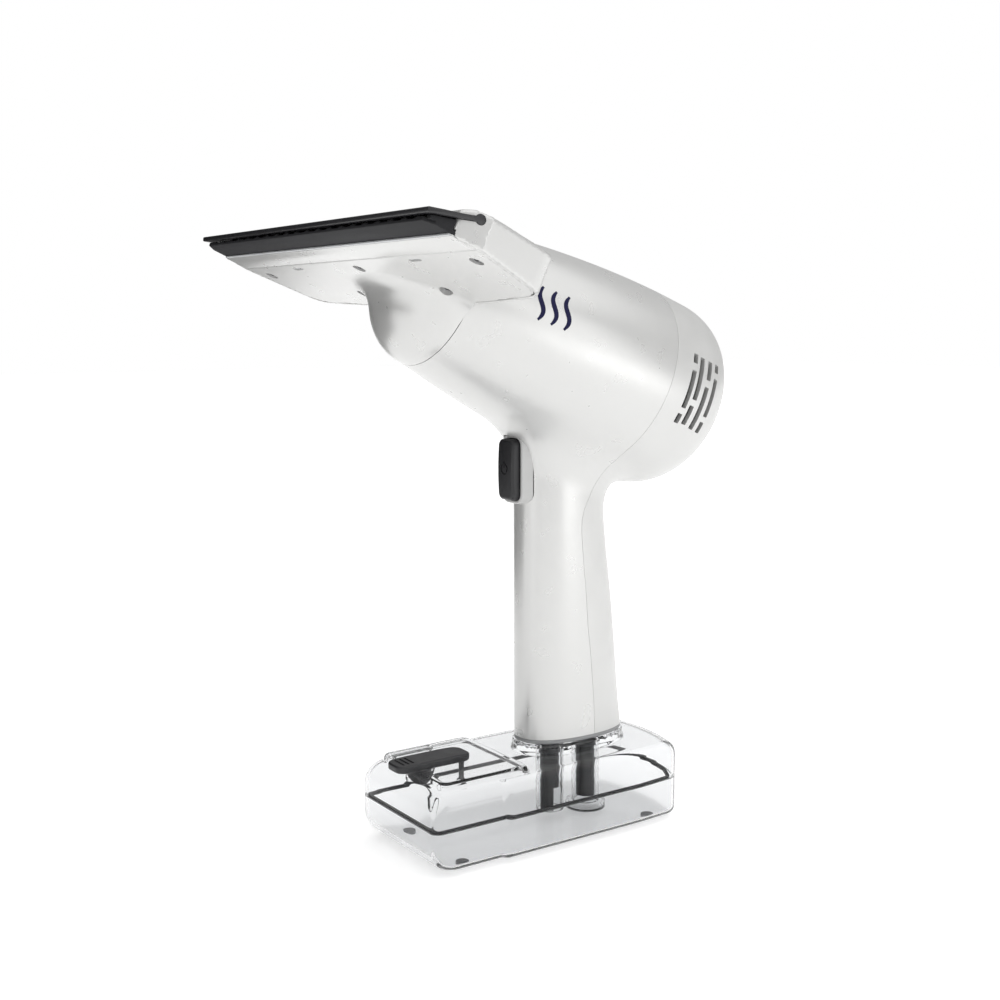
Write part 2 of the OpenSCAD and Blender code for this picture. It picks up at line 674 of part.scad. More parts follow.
module head_upper_cover() color(white)
    difference() {
        on_head() difference() {
            union() {
                head_cover_skin();
                // bosses that the plate is screwed to
                intersection() {
                    head_block(0.6, plate_t + 0.1);
                    for (p = screw_spots) translate([p[0], p[1], 0]) difference() {
                        cylinder(r = 3, h = 40, $fn = 24);
                        cylinder(r = 1.5, h = 40, $fn = 24);
                    }
                }
            }
            // room for the lower plate
            translate([0, 0, -5]) linear_extrude(5 + plate_t + 0.05) head_outline(plate_inset - 0.15);
            // room for the lower lip and the steam slot above it
            translate([-97.2, head_front - 2, -3]) cube([194.4, 13, 3 + lip_z + lip_t + 0.2]);
            translate([-94, head_front - 2, 0]) cube([188, 16, 6]);
            along_width(101) blade_section(run_gap);
        }
        seam_cut();
        neck_bore(flange_r + part_gap);
        on_barrel(barrel_front) cylinder(r = 8, h = 8, $fn = 48);
        // room for the top of the nose
        intersection() {
            nose(-0.15);
            on_head() translate([-60, -160, -60]) cube([120, 160, 60 + plate_t + 0.05]);
        }
    }

nose_l = 24;
nose_steps = 9;
// The rounded nose under the plate, in front of the seam
module nose(inset)
    on_barrel(barrel_front + part_gap) rotate_extrude($fn = 72)
        polygon(concat([[0, 0]], [for (i = [0:nose_steps]) let (a = 90 * i / nose_steps)
            [(radius_at(-barrel_front) - inset) * cos(a), (nose_l - inset) * sin(a)]]));

module head_lower_plate() color(white)
    difference() {
        union() {
            on_head() intersection() {
                linear_extrude(plate_t) head_outline(plate_inset);
                translate([-120, plate_front, -1]) cube([240, 60, 10]);
            }
            intersection() {
                nose(0);
                on_head() translate([-50, -160, -60]) cube([100, 160, 60 + plate_t]);
            }
        }
        nose(wall);
        seam_cut();
        on_head() for (p = screw_spots) translate([p[0], p[1], -1]) {
            cylinder(r = 1.5, h = 9, $fn = 24);
            cylinder(r = 2.8, h = 1 + screw_seat, $fn = 32);
        }
        on_head() for (p = clip_spots) translate([p[0], p[1], 0])
            cube([8.2, 1.7, 12], center = true);
    }

module head_spigot() color(dark_grey)
    on_barrel() rotate_extrude($fn = 72) polygon([
        [spigot_bore_r, barrel_front - 12], [spigot_r - 1.6, barrel_front - 12],
        [spigot_r - 1.6, barrel_front - 9], [spigot_r, barrel_front - 9],
        [spigot_r, barrel_front + 0.5], [flange_r, barrel_front + 0.5],
        [flange_r, barrel_front + 2.5], [spigot_bore_r, barrel_front + 2.5]
    ]);

module spigot_seal() color(rubber)
    on_barrel(barrel_front - 11.9) tube(spigot_r - 0.02, spigot_r - 1.6, 2.8, 64);

module steam_distributor() color(dark_grey)
    on_head() difference() {
        union() {
            translate([-72, -112, 3.2]) cube([144, 10, 6.2]);
            translate([0, -102.01, 6.3]) rotate([-90, 0, 0]) cylinder(r = 3, h = 8, $fn = 32);
        }
        translate([-70, -110.6, 4.6]) cube([140, 7.2, 3.4]);
        translate([0, -105, 6.3]) rotate([-90, 0, 0]) cylinder(r = 2, h = 20, $fn = 32);
        for (x = [-64:16:64]) translate([x, -106, 6.3]) rotate([90, 0, 0]) cylinder(r = 1, h = 8, $fn = 24);
    }

module head_screws() color(steel)
    on_head() for (p = screw_spots) translate([p[0], p[1], screw_seat]) mirror([0, 0, 1])
        pan_screw(1.45, 5.4, 2.6, 1.5);

module head_clips() color(mid_grey)
    on_head() for (p = clip_spots) translate([p[0], p[1], 1.55]) cube([8, 1.5, 1.7], center = true);

module wiping_blade() color(black) on_head() along_width(head_half_w) blade_section();

rib_t = 1.5;
module ribbed_lip() color(black)
    on_head() {
        translate([-97, -145.4, lip_z]) cube([194, 20, lip_t]);
        for (i = [0:rib_count - 1]) {
            x = -90 + 180 * i / (rib_count - 1);
            translate([x - rib_t / 2, 0, 0]) rotate([90, 0, 90]) linear_extrude(rib_t)
                polygon([[-145.2, lip_z + lip_t - 0.01], [-145.2, 2.9], [-135, 5.9], [-135, lip_z + lip_t - 0.01]]);
        }
    }

module lip_clamp() color(mid_grey)
    on_head() translate([-96, -136.4, 0]) cube([192, 12.6, lip_z - 0.05]);

// ---------- tank ----------

corner_steps = 6;
function arc(cx, cy, r, from, to) =
    [for (i = [0:corner_steps]) let (a = from + (to - from) * i / corner_steps) [cx + r * cos(a), cy + r * sin(a)]];
jog_y = -54;
front_corner = 5;
rear_corner = 6;
rear_bow = 7;
// Outline of the tank, moved in by inset
function tank_outline(inset) =
    let (hw = tank_half_w - inset, hr = tank_half_w + tank_jog - inset,
         f = -tank_front + inset, rc = max(rear_corner - inset, 2), fc = max(front_corner - inset, 0.8),
         b = tank_rear - rear_bow - inset, j = jog_y + inset, bow = rear_bow / pow(33, 2),
         right = concat(
            arc(hw - fc, f + fc, fc, -90, 0),
            [[hw, j - 1.2], [hr, j + 1.2], [hr, 22]],
            arc(hr - 1.6 - rc, b - rc, rc, 0, 68),
            [for (x = [20, 13, 6]) [x, tank_rear - inset - bow * x * x]]))
    concat(right, [for (i = [len(right) - 1:-1:0]) [-right[i][0], right[i][1]]]);
function at_z(outline, z) = [for (p = outline) [p[0], p[1], z]];

low_edge_r = 5;
top_edge_r = 9;
edge_steps = 4;
// The tank's outside, moved in by inset: round along its lower and upper edges
module tank_solid(inset, from_z, to_z, round_low, round_high) {
    low_r = low_edge_r - inset;
    r = top_edge_r - inset;
    rings = concat(
        round_low ? [for (i = [0:edge_steps]) let (a = 90 * i / edge_steps, r = low_r)
            at_z(tank_outline(inset + r * (1 - sin(a))), from_z + r * (1 - cos(a)))]
        : [at_z(tank_outline(inset), from_z)],
        round_high ? [for (i = [edge_steps:-1:0]) let (a = 90 * i / edge_steps)
            at_z(tank_outline(inset + r * (1 - sin(a))), to_z - r * (1 - cos(a)))]
        : [at_z(tank_outline(inset), to_z)]
    );
    on_grip() loft(rings);
}

pin_top_r = 2.9;        // the plug's pin widens to this under its strap
feet_spots = [[-22, -71], [22, -71], [-24, 33], [24, 33]];
foot_r = 3;
foot_t = 1.4;

// Everything above (side 1) or below (side -1) a height, for cutting the two halves apart
module half_space(z, side)
    on_grip() translate([-60, -120, side > 0 ? z : z - 30]) cube([120, 240, 30]);

module tank_lower() color(clear)
    difference() {
        tank_solid(0, floor_z, seal_z + 4, true, false);
        tank_solid(tank_wall, floor_z + tank_wall, seal_z + 6, true, false);
        half_space(seal_z, 1);
        on_grip() for (p = feet_spots) translate([p[0], p[1], 0]) cylinder(r = foot_r + run_gap, h = foot_t, $fn = 32);
    }

module tank_upper() color(clear)
    difference() {
        union() {
            difference() {
                tank_solid(0, seal_z - 4, tank_top, false, true);
                // the rear part is a little lower than the front
                on_grip() translate([-60, step_y, step_z]) cube([120, 120, 10]);
            }
            on_grip() translate([0, 0, step_z - 0.5]) linear_extrude(3.4)
                polygon(grip_outline(grip_front - 1.6, grip_rear_foot + 1.6, grip_half_w + 1.6));
        }
        difference() {
            tank_solid(tank_wall, seal_z - 6, tank_top - tank_wall, false, true);
            on_grip() translate([-60, step_y - tank_wall, step_z - tank_wall]) cube([120, 120, 10]);
        }
        // the raised seat under the grip is hollow too
        on_grip() translate([0, 0, step_z - 3]) linear_extrude(3.6)
            polygon(grip_outline(grip_front + 0.4, grip_rear_foot - 0.4, grip_half_w - 0.4));
        half_space(seal_z + 0.02, -1);
        on_grip() {
            for (y = [pickup_y, return_y]) translate([0, y, 20]) cylinder(r = sleeve_bore_r, h = 40, $fn = 48);
            translate([0, plug_y, 20]) cylinder(r = stopper_r + part_gap, h = 40, $fn = 48);
            translate([0, pin_y, 20]) cylinder(r = pin_top_r + part_gap, h = 40, $fn = 32);
        }
    }

module tank_seal() color(dark_grey)
    on_grip() translate([0, 0, seal_z - seal_half]) linear_extrude(2 * seal_half) difference() {
        polygon(tank_outline(tank_wall + 0.02));
        polygon(tank_outline(tank_wall + 1.4));
    }

module tank_feet() color(mid_grey)
    on_grip() for (p = feet_spots) translate([p[0], p[1], 0]) cylinder(r = foot_r, h = foot_t, $fn = 32);

module tube_sleeves() color(clear)
    on_grip() for (y = [pickup_y, return_y]) translate([0, y, sleeve_foot_z])
        tube(sleeve_r, sleeve_bore_r, step_z - tank_wall - sleeve_foot_z);

module return_cup() color(clear)
    on_grip() translate([0, return_y, floor_z + tank_wall]) difference() {
        cylinder(r = 9.6, h = 3.2, $fn = 64);
        translate([0, 0, 1]) cylinder(r = 8.2, h = 5, $fn = 64);
    }

strap_z = tank_top + 0.1;
strap_t = 3.6;
strap_w = 13.5;
strap_l = 38;
strap_y = -74;
module filler_plug() color(black)
    on_grip() {
        difference() {
            translate([0, strap_y, strap_z]) linear_extrude(strap_t) rounded_rect(strap_w, strap_l, 4.5);
            for (y = [-89.5:2.4:-84]) translate([-4, y, strap_z + strap_t - 0.5]) cube([8, 1, 1]);
        }
        translate([0, plug_y, 0]) {
            translate([0, 0, 33]) cylinder(r = stopper_r - 1, h = strap_z - 32.99, $fn = 48);
            translate([0, 0, 36.4]) cylinder(r = stopper_r, h = strap_z - 36.39, $fn = 48);
        }
        translate([0, pin_y, 0]) {
            translate([0, 0, 29]) cylinder(r = 1.2, h = 7.01, $fn = 32);
            translate([0, 0, 36]) cylinder(r1 = 1.2, r2 = pin_top_r, h = strap_z - 35.99, $fn = 32);
            translate([0, 0, 27.6]) cylinder(r = 2.2, h = 1.41, $fn = 32);
        }
    }

tank_lower();
tank_upper();
tank_seal();
tank_feet();
tube_sleeves();
return_cup();
filler_plug();
front_housing();
rear_housing();
vent_screens();
housing_screws();
grip_end_plate();
button_bezel();
power_button();
button_spring();
microswitch();
switch_bracket();
pickup_tube();
return_tube();
tube_collars();
suction_hose();
feed_hose();
return_hose();
pump();
pump_mounts();
heater_block();
heater_gasket();
heater_cover();
heater_screws();
heater_terminals();
heat_shield();
heater_cradles();
thermostat();
thermal_fuse();
steam_tube();
neck_socket();
control_board();
board_parts();
board_screws();
power_inlet();
inlet_pins();
wiring();
head_upper_cover();
head_lower_plate();
head_spigot();
spigot_seal();
steam_distributor();
head_screws();
head_clips();
wiping_blade();
ribbed_lip();
lip_clamp();
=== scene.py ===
# %% [markdown]
# # A handheld garment steamer
# This lesson dresses a working CAD model of a garment steamer. The CAD model already knows where
# everything sits and what moves. Here the plain shells are swapped for finely made ones, and every
# piece gets a finish that behaves like the real plastic, rubber, metal or clear resin.

# %% Load the working model
import bmesh
import bpy
import json
import math
import numpy as np
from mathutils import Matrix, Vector


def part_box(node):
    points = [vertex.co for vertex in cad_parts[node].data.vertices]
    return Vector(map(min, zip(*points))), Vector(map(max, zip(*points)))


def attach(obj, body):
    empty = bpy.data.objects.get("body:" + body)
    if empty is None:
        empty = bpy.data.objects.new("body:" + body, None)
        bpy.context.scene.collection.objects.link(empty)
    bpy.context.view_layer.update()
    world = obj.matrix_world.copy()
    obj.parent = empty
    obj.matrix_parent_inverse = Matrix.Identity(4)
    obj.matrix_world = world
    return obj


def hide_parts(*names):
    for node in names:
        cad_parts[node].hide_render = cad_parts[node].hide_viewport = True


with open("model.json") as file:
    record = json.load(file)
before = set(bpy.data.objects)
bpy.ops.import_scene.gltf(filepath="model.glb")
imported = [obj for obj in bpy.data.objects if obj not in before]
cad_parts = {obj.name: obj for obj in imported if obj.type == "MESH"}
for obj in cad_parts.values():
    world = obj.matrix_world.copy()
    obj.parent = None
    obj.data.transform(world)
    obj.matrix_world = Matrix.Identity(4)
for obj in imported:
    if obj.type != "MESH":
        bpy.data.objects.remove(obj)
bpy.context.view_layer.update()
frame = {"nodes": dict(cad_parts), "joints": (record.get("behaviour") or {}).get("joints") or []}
nodes = frame["nodes"]
MM = 0.001
print("pieces in the working model:", len(nodes))

# %% [markdown]
# ## Where things are
# The steamer has three natural frames: the upright grip, the tilted barrel and the steeper flat head.
# Two of them are read from the working model, which keeps this lesson in step with it: the barrel's tilt is
# the direction in which the head pulls off, and the grip's axis lies 24.8 mm behind the front face of the end
# plate. The head's tilt and the heights are given.

# %% Frames of the grip, the barrel and the head
joint_of = {joint["name"]: joint for joint in frame["joints"]}
pull = Vector(joint_of["head_pull"]["axis"]).normalized()
BARREL_TILT = math.asin(pull.z)
HEAD_TILT = math.radians(24)
plate_low = np.array(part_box("grip_end_plate")[0]) / MM
GRIP_FRONT = -24.8
GRIP_Y = plate_low[1] - GRIP_FRONT
BARREL_Z = 220.7
HEAD_Z = 210.2


def barrel_frame(p):
    """Distance sideways, up and back from the grip's axis, measured along the barrel."""
    y, z = p[..., 1] - GRIP_Y, p[..., 2] - BARREL_Z
    c, s = math.cos(BARREL_TILT), math.sin(BARREL_TILT)
    return p[..., 0], y * s + z * c, y * c - z * s


def head_frame(p):
    """Distance sideways, back along the head's underside, and above it."""
    y, z = p[..., 1] - GRIP_Y, p[..., 2] - HEAD_Z
    c, s = math.cos(HEAD_TILT), math.sin(HEAD_TILT)
    return p[..., 0], y * c - z * s, y * s + z * c


def from_barrel(x, up, back):
    c, s = math.cos(BARREL_TILT), math.sin(BARREL_TILT)
    return np.array([x, GRIP_Y + back * c + up * s, BARREL_Z - back * s + up * c])


def from_head(x, back, up):
    c, s = math.cos(HEAD_TILT), math.sin(HEAD_TILT)
    return np.array([x, GRIP_Y + back * c + up * s, HEAD_Z - back * s + up * c])


def from_grip(x, y, z):
    return np.array([x, GRIP_Y + y, z])


print("grip axis at y =", round(float(GRIP_Y), 2), "mm, barrel tilt", round(math.degrees(BARREL_TILT), 2))

# %% [markdown]
# ## Camera
# A catalogue view: a long lens from the front corner, a little above the middle, so that the flat
# underside of the head, the side vents and the clear tank all show at once.

# %% Camera
camera = bpy.data.objects.new("camera", bpy.data.cameras.new("camera"))
bpy.context.scene.collection.objects.link(camera)
camera.data.lens = 48.24
camera.data.sensor_width = 36
VIEW_TURN = math.radians(55.5)
VIEW_RISE = math.radians(7.45)
camera.location = Vector((493.7, GRIP_Y - 375.0, 234.5)) * MM
camera.rotation_euler = (math.pi / 2 - VIEW_RISE, 0, VIEW_TURN)
bpy.context.scene.camera = camera

# %% [markdown]
# ## A way to make smooth moulded shells
# Moulded housings flow into one another with soft fillets. Subdivision modelling can do that, but the
# fillet where a round barrel meets an oval grip takes many careful loops. Another way is to describe
# each form by a rule that tells how far a point is from its surface, and to melt two rules together.
# A net of small quads is then stretched over the place where the distance is zero, and every corner is
# pulled exactly onto it. The result is as smooth as the rule, and the same rule gives its shading.

# %% Rules that blend
def melt(a, b, soft):
    """Union of two forms with a fillet about as wide as soft."""
    h = np.clip(0.5 + 0.5 * (b - a) / soft, 0, 1)
    return b * (1 - h) + a * h - soft * h * (1 - h)


def both(a, b, soft):
    """Where two forms overlap, with the edge between them rounded by soft."""
    return -melt(-a, -b, soft)


def slope_of(rule, p, step=0.02):
    """Direction in which a rule grows at each point."""
    out = np.empty_like(p)
    for axis in range(3):
        d = np.zeros(3)
        d[axis] = step
        out[:, axis] = (rule(p + d) - rule(p - d)) / (2 * step)
    return out


def pull_onto(rule, p, rounds=3):
    for _ in range(rounds):
        g = slope_of(rule, p)
        move = rule(p)[:, None] * g / np.maximum((g * g).sum(1), 0.05)[:, None]
        p = p - np.clip(move, -0.8, 0.8)
    return p


# %% A net of quads over a rule
CUBE_EDGES = [(a, b) for a in range(8) for b in range(8) if a < b and bin(a ^ b).count("1") == 1]


def net_over(rule, low, high, step):
    """Corners and quads of a net over the zero surface of rule, inside a box."""
    axes = [np.arange(lo, hi + step, step) for lo, hi in zip(low, high)]
    field = np.concatenate([rule(np.stack(np.meshgrid(part, axes[1], axes[2], indexing="ij"), -1))
                            for part in np.array_split(axes[0], max(1, len(axes[0]) // 12))])
    inside = field < 0
    n = [len(a) - 1 for a in axes]

    def corner(grid, k):
        a, b, c = k & 1, k >> 1 & 1, k >> 2 & 1
        return grid[a:a + n[0], b:b + n[1], c:c + n[2]]

    filled = sum(corner(inside, k).astype(np.int8) for k in range(8))
    crossed = (filled > 0) & (filled < 8)
    cells = np.argwhere(crossed)
    values = np.stack([corner(field, k)[crossed] for k in range(8)], 1)
    total, count = np.zeros((len(cells), 3)), np.zeros(len(cells))
    for a, b in CUBE_EDGES:
        cut = (values[:, a] < 0) != (values[:, b] < 0)
        with np.errstate(divide="ignore", invalid="ignore"):
            t = np.where(cut, values[:, a] / (values[:, a] - values[:, b]), 0)
        pa = np.array([a & 1, a >> 1 & 1, a >> 2 & 1], float)
        pb = np.array([b & 1, b >> 1 & 1, b >> 2 & 1], float)
        total += cut[:, None] * (pa + t[:, None] * (pb - pa))
        count += cut
    points = np.array(low) + (cells + total / count[:, None]) * step
    index = np.full(n, -1)
    index[crossed] = np.arange(len(cells))
    quads = []
    for axis in range(3):
        u, v = (axis + 1) % 3, (axis + 2) % 3
        first = np.take(inside, range(n[axis]), axis)
        second = np.take(inside, range(1, n[axis] + 1), axis)
        where = np.argwhere(first != second)
        where = where[(where[:, u] > 0) & (where[:, u] < n[u]) & (where[:, v] > 0) & (where[:, v] < n[v])]
        rising = first[tuple(where.T)]
        ring = []
        for du, dv in ((1, 1), (0, 1), (0, 0), (1, 0)):
            cell = where.copy()
            cell[:, u] -= du
            cell[:, v] -= dv
            ring.append(index[tuple(cell.T)])
        ring = np.stack(ring, 1)
        ring[~rising] = ring[~rising][:, ::-1]
        quads.append(ring)
    return points, np.concatenate(quads)


def relax_onto(rule, points, quads, rounds=4):
    """Even out the net along the surface, keeping every corner on it."""
    pairs = np.concatenate([quads[:, [i, (i + 1) % 4]] for i in range(4)])
    degree = np.bincount(pairs.ravel(), minlength=len(points))[:, None]
    points = pull_onto(rule, points, 3)
    for _ in range(rounds):
        mean = np.zeros_like(points)
        for axis in range(3):
            mean[:, axis] = (np.bincount(pairs[:, 0], points[pairs[:, 1], axis], len(points))
                             + np.bincount(pairs[:, 1], points[pairs[:, 0], axis], len(points)))
        points = pull_onto(rule, points + 0.6 * (mean / degree - points), 2)
    return points


def new_object(name, points, faces):
    mesh = bpy.data.meshes.new(name)
    mesh.from_pydata((np.asarray(points, float) * MM).tolist(), [], [list(map(int, f)) for f in faces])
    mesh.validate()
    obj = bpy.data.objects.new(name, mesh)
    bpy.context.scene.collection.objects.link(obj)
    return obj


def moulded(name, rule, low, high, step):
    points, quads = net_over(rule, low, high, step)
    points = relax_onto(rule, points, quads)
    print(f"{name}: {len(quads)} quads")
    return new_object(name, points, quads)


# %% [markdown]
# ## Cutting and trimming
# Seams, slots and openings are crisp on a moulded part, because steel edges in the mould make them.
# They are cut with solid tools after the smooth form is made. Cutting leaves long thin faces that
# shade badly, so the shading is taken from the rule again wherever a face lies on the smooth surface,
# and is left flat on the cut edges.

# %% Solid tools
def prism(name, outline, place, start, end):
    """A straight prism: outline is a list of (u, v), and place(u, v, w) puts a point in space."""
    n = len(outline)
    points = [place(u, v, w) for w in (start, end) for u, v in outline]
    faces = [list(range(n))[::-1], list(range(n, 2 * n))]
    faces += [[i, (i + 1) % n, n + (i + 1) % n, n + i] for i in range(n)]
    obj = new_object(name, points, faces)
    face_outward(obj)
    return obj


def face_outward(obj):
    bm = bmesh.new()
    bm.from_mesh(obj.data)
    bmesh.ops.recalc_face_normals(bm, faces=bm.faces)
    bm.to_mesh(obj.data)
    bm.free()


def carve(obj, tool, how="DIFFERENCE"):
    cut = obj.modifiers.new("cut", "BOOLEAN")
    cut.operation, cut.solver, cut.object = how, "MANIFOLD", tool
    apply_modifiers(obj)
    bpy.data.objects.remove(tool)
    return obj


def apply_modifiers(obj):
    depsgraph = bpy.context.evaluated_depsgraph_get()
    mesh = bpy.data.meshes.new_from_object(obj.evaluated_get(depsgraph))
    obj.modifiers.clear()
    old = obj.data
    obj.data = mesh
    bpy.data.meshes.remove(old)


def rounded_outline(w, h, r, steps=8):
    return [(sx * (w / 2 - r) + r * math.cos(a), sy * (h / 2 - r) + r * math.sin(a))
            for sx, sy, a0 in ((1, 1, 0), (-1, 1, 90), (-1, -1, 180), (1, -1, 270))
            for a in (math.radians(a0 + 90 * i / steps) for i in range(steps + 1))]


def circle_outline(r, steps=48):
    return [(r * math.cos(math.tau * i / steps), r * math.sin(math.tau * i / steps)) for i in range(steps)]


# %% Shading taken from the rules
SLIVER_W = 0.12


def shade_by(obj, rules, near=0.06, agree=0.6):
    """Smooth shading where a face lies on one of the rules' surfaces, flat elsewhere.

    The first rule is the outside and any other is a hollow, whose surface faces the other way. A
    cut leaves a few sliver faces with no direction of their own, and they take the rule's too.
    """
    mesh = obj.data
    mesh.polygons.foreach_set("use_smooth", [True] * len(mesh.polygons))
    co = np.zeros(len(mesh.vertices) * 3)
    mesh.vertices.foreach_get("co", co)
    co = co.reshape(-1, 3) / MM
    loops = np.zeros(len(mesh.loops), np.int32)
    mesh.loops.foreach_get("vertex_index", loops)
    counts = np.zeros(len(mesh.polygons), np.int32)
    mesh.polygons.foreach_get("loop_total", counts)
    face_normal = np.zeros(len(mesh.polygons) * 3)
    mesh.polygons.foreach_get("normal", face_normal)
    normal = np.repeat(face_normal.reshape(-1, 3), counts, 0)
    starts = np.concatenate([[0], np.cumsum(counts)[:-1]])
    area = np.zeros(len(mesh.polygons))
    mesh.polygons.foreach_get("area", area)
    corner = co[loops]
    following = np.arange(len(loops)) + 1
    following[starts + counts - 1] = starts
    longest = np.maximum.reduceat(np.linalg.norm(corner[following] - corner, axis=1), starts)
    sliver = np.repeat(2 * area / MM ** 2 / np.maximum(longest, 1e-9) < SLIVER_W, counts)
    for order, rule in enumerate(rules):
        slope = slope_of(rule, co)
        slope *= (1 if order == 0 else -1) / np.maximum(np.linalg.norm(slope, axis=1), 1e-9)[:, None]
        close = np.abs(rule(co)) < near
        on_it = np.repeat(np.minimum.reduceat(close[loops].astype(int), starts), counts) > 0
        facing = (slope[loops] * normal).sum(1)
        fits = on_it & ((facing > agree) | sliver)
        normal[fits] = slope[loops][fits]
    mesh.normals_split_custom_set(normal.tolist())


def copy_of(obj, name):
    twin = obj.copy()
    twin.data = obj.data.copy()
    twin.name = name
    bpy.context.scene.collection.objects.link(twin)
    return twin


# %% [markdown]
# ## The barrel and the grip
# On the real steamer the body is two mouldings: a glossy front shell and a matt rear shell that
# carries the round end and the grip's spine. Both are cut from one form, so their surfaces run on
# across the seam without a step, as they do when a toolmaker splits one master shape.

# %% Form of the barrel
BARREL_R = 44.9
TAPER_FROM = 38.0
DOME_FROM = 46.0
REAR_END = 78.7
SEAM_HEAD = -75.75
DOME_POWER = 2.4


def barrel_radius(back):
    return BARREL_R - 0.00217 * np.maximum(TAPER_FROM - back, 0) ** 1.829


def barrel_rule(p):
    x, up, back = barrel_frame(p)
    off = np.hypot(x, up)
    length = REAR_END - DOME_FROM
    past = np.maximum(back - DOME_FROM, 0)
    size = ((past / length) ** DOME_POWER + (off / BARREL_R) ** DOME_POWER) ** (1 / DOME_POWER)
    round_end = (1 - 1 / np.maximum(size, 1e-3)) * np.hypot(past, off)
    return np.maximum(np.where(back > DOME_FROM, round_end, off - barrel_radius(back)), SEAM_HEAD - 6 - back)


# %% Form of the grip
REAR_POINTS = ((44, 32.0), (60, 30.0), (80, 27.6), (100, 25.7), (118, 23.6), (132, 21.1), (147, 19.7))
rear_curve = np.polynomial.Polynomial.fit([z for z, _ in REAR_POINTS], [y for _, y in REAR_POINTS], 4)
GRIP_HALF_W = 15.8
GRIP_POWER = 2.3
GRIP_TOP = 206.0
GRIP_FOOT = 44.0


def oval(u, v, half_u, half_v):
    """Distance from a squarish oval, measured along a line to its middle."""
    size = (np.abs(u / half_u) ** GRIP_POWER + np.abs(v / half_v) ** GRIP_POWER) ** (1 / GRIP_POWER)
    return (1 - 1 / np.maximum(size, 1e-3)) * np.hypot(u, v)


def grip_rule(p):
    x, y, z = p[..., 0], p[..., 1] - GRIP_Y, p[..., 2]
    rear = rear_curve(np.clip(z, GRIP_FOOT - 6, 146))
    mid, half = (GRIP_FRONT + rear) / 2, (rear - GRIP_FRONT) / 2
    side = oval(x, y - mid, GRIP_HALF_W, half)
    return np.maximum(side, np.maximum(z - GRIP_TOP, GRIP_FOOT - 5 - z))


FILLET = 17.0
WALL = 2.4


def body_rule(p):
    return melt(barrel_rule(p), grip_rule(p), FILLET)


def body_inside_rule(p):
    return body_rule(p) + WALL


body_low = (-50, GRIP_Y - 88, GRIP_FOOT - 6)
body_high = (50, GRIP_Y + 84, 284)
BODY_STEP = 1.5
body_form = moulded("body_form", body_rule, body_low, body_high, BODY_STEP)
body_hollow = moulded("body_hollow", body_inside_rule, body_low, body_high, 2.0)
carve(body_form, body_hollow)

# %% [markdown]
# ## Splitting the master form
# The seam runs square across the barrel behind its middle, then sweeps down the grip's sides, a little
# behind their centre line. A solid tool with that profile cuts the form, and the rear shell is cut
# with the same tool moved back by the width of the hairline gap.

# %% Seam between the housings
SEAM_GAP = 0.14
SEAM_BACK = 28.5
seam_curve = [(12.4, 173), (9.2, 167), (5.8, 161), (2.4, 155), (0.1, 150.5), (-1.1, 146), (-1.25, 140),
              (-0.7, 134), (0.2, 125), (1.7, 111), (2.9, 96), (4.6, 83), (5.8, 71), (6.8, 60), (7.6, 40)]
seam_top = from_barrel(0, 90, SEAM_BACK)[1:]


def seam_tool(name, shift):
    outline = [(seam_top[0] + shift, seam_top[1])]
    outline += [(GRIP_Y + y + shift, z) for y, z in seam_curve]
    outline += [(GRIP_Y + y + shift, z) for y, z in ((7.6, 20), (140, 20), (140, 330))]
    return prism(name, outline, lambda u, v, w: (w, u, v), -80, 80)


def barrel_cylinder(name, r, start, end):
    return prism(name, circle_outline(r, 96), lambda u, v, w: from_barrel(u, v, w), start, end)


def below(z, name="below"):
    square = [(-150, -150), (150, -150), (150, 200), (-150, 200)]
    return prism(name, square, lambda u, v, w: (u, v, w), -60, z)


front_shell = copy_of(body_form, "front_shell")
rear_shell = body_form
rear_shell.name = "rear_shell"
carve(front_shell, seam_tool("seam_front", 0))
carve(rear_shell, seam_tool("seam_rear", SEAM_GAP), "INTERSECT")
for shell in (front_shell, rear_shell):
    carve(shell, below(GRIP_FOOT))
carve(front_shell, barrel_cylinder("neck_end", 60, SEAM_HEAD - 40, SEAM_HEAD))
button_mid_z = 169.7
carve(front_shell, prism("bezel_hole", rounded_outline(16.04, 31.04, 4.82),
                         lambda u, v, w: from_grip(u, w, button_mid_z + v), -42, -12))
print("front shell faces:", len(front_shell.data.polygons))

# %% [markdown]
# ## Cooling slots
# Warm air from the control board leaves through slots in the rear shell. They lie in four columns that
# follow the barrel's round, each split into staggered dashes. Each cutter is a short curved bar with
# squarish ends, swept around the barrel's axis.

# %% Slots and the mains inlet's opening
VENT_W = 2.7
VENT_COLUMNS = ((40.1, ((69, 75), (79.5, 102.4), (106, 112))),
                (44.4, ((69.5, 95.6), (99.2, 111.1))),
                (49.6, ((69.6, 81.4), (85.6, 112))),
                (54.6, ((69, 74.5), (78.3, 102), (105.4, 112.5))))


def blunt(value):
    """Turns a circle's cosine or sine into that of a square with small rounded corners."""
    return np.sign(value) * abs(value) ** 0.28


def slot_tool(back, start, end, side):
    """A bar that follows the barrel from one angle to another, measured from the top."""
    inner, outer, half = 36.0, 49.0, VENT_W / 2
    turn = half / BARREL_R
    a0, a1 = math.radians(start) + turn, math.radians(end) - turn
    bow = np.linspace(math.pi / 2, -math.pi / 2, 13)
    around = [(a1 + turn * blunt(math.cos(t)), half * blunt(math.sin(t))) for t in bow]
    around += [(a, -half) for a in np.linspace(a1, a0, 9)[1:-1]]
    around += [(a0 - turn * blunt(math.cos(t)), half * blunt(math.sin(t))) for t in bow[::-1]]
    around += [(a, half) for a in np.linspace(a0, a1, 9)[1:-1]]
    place = lambda u, v, w: from_barrel(side * w * math.sin(u), w * math.cos(u), back + v)
    return prism("slot", around, place, inner, outer)


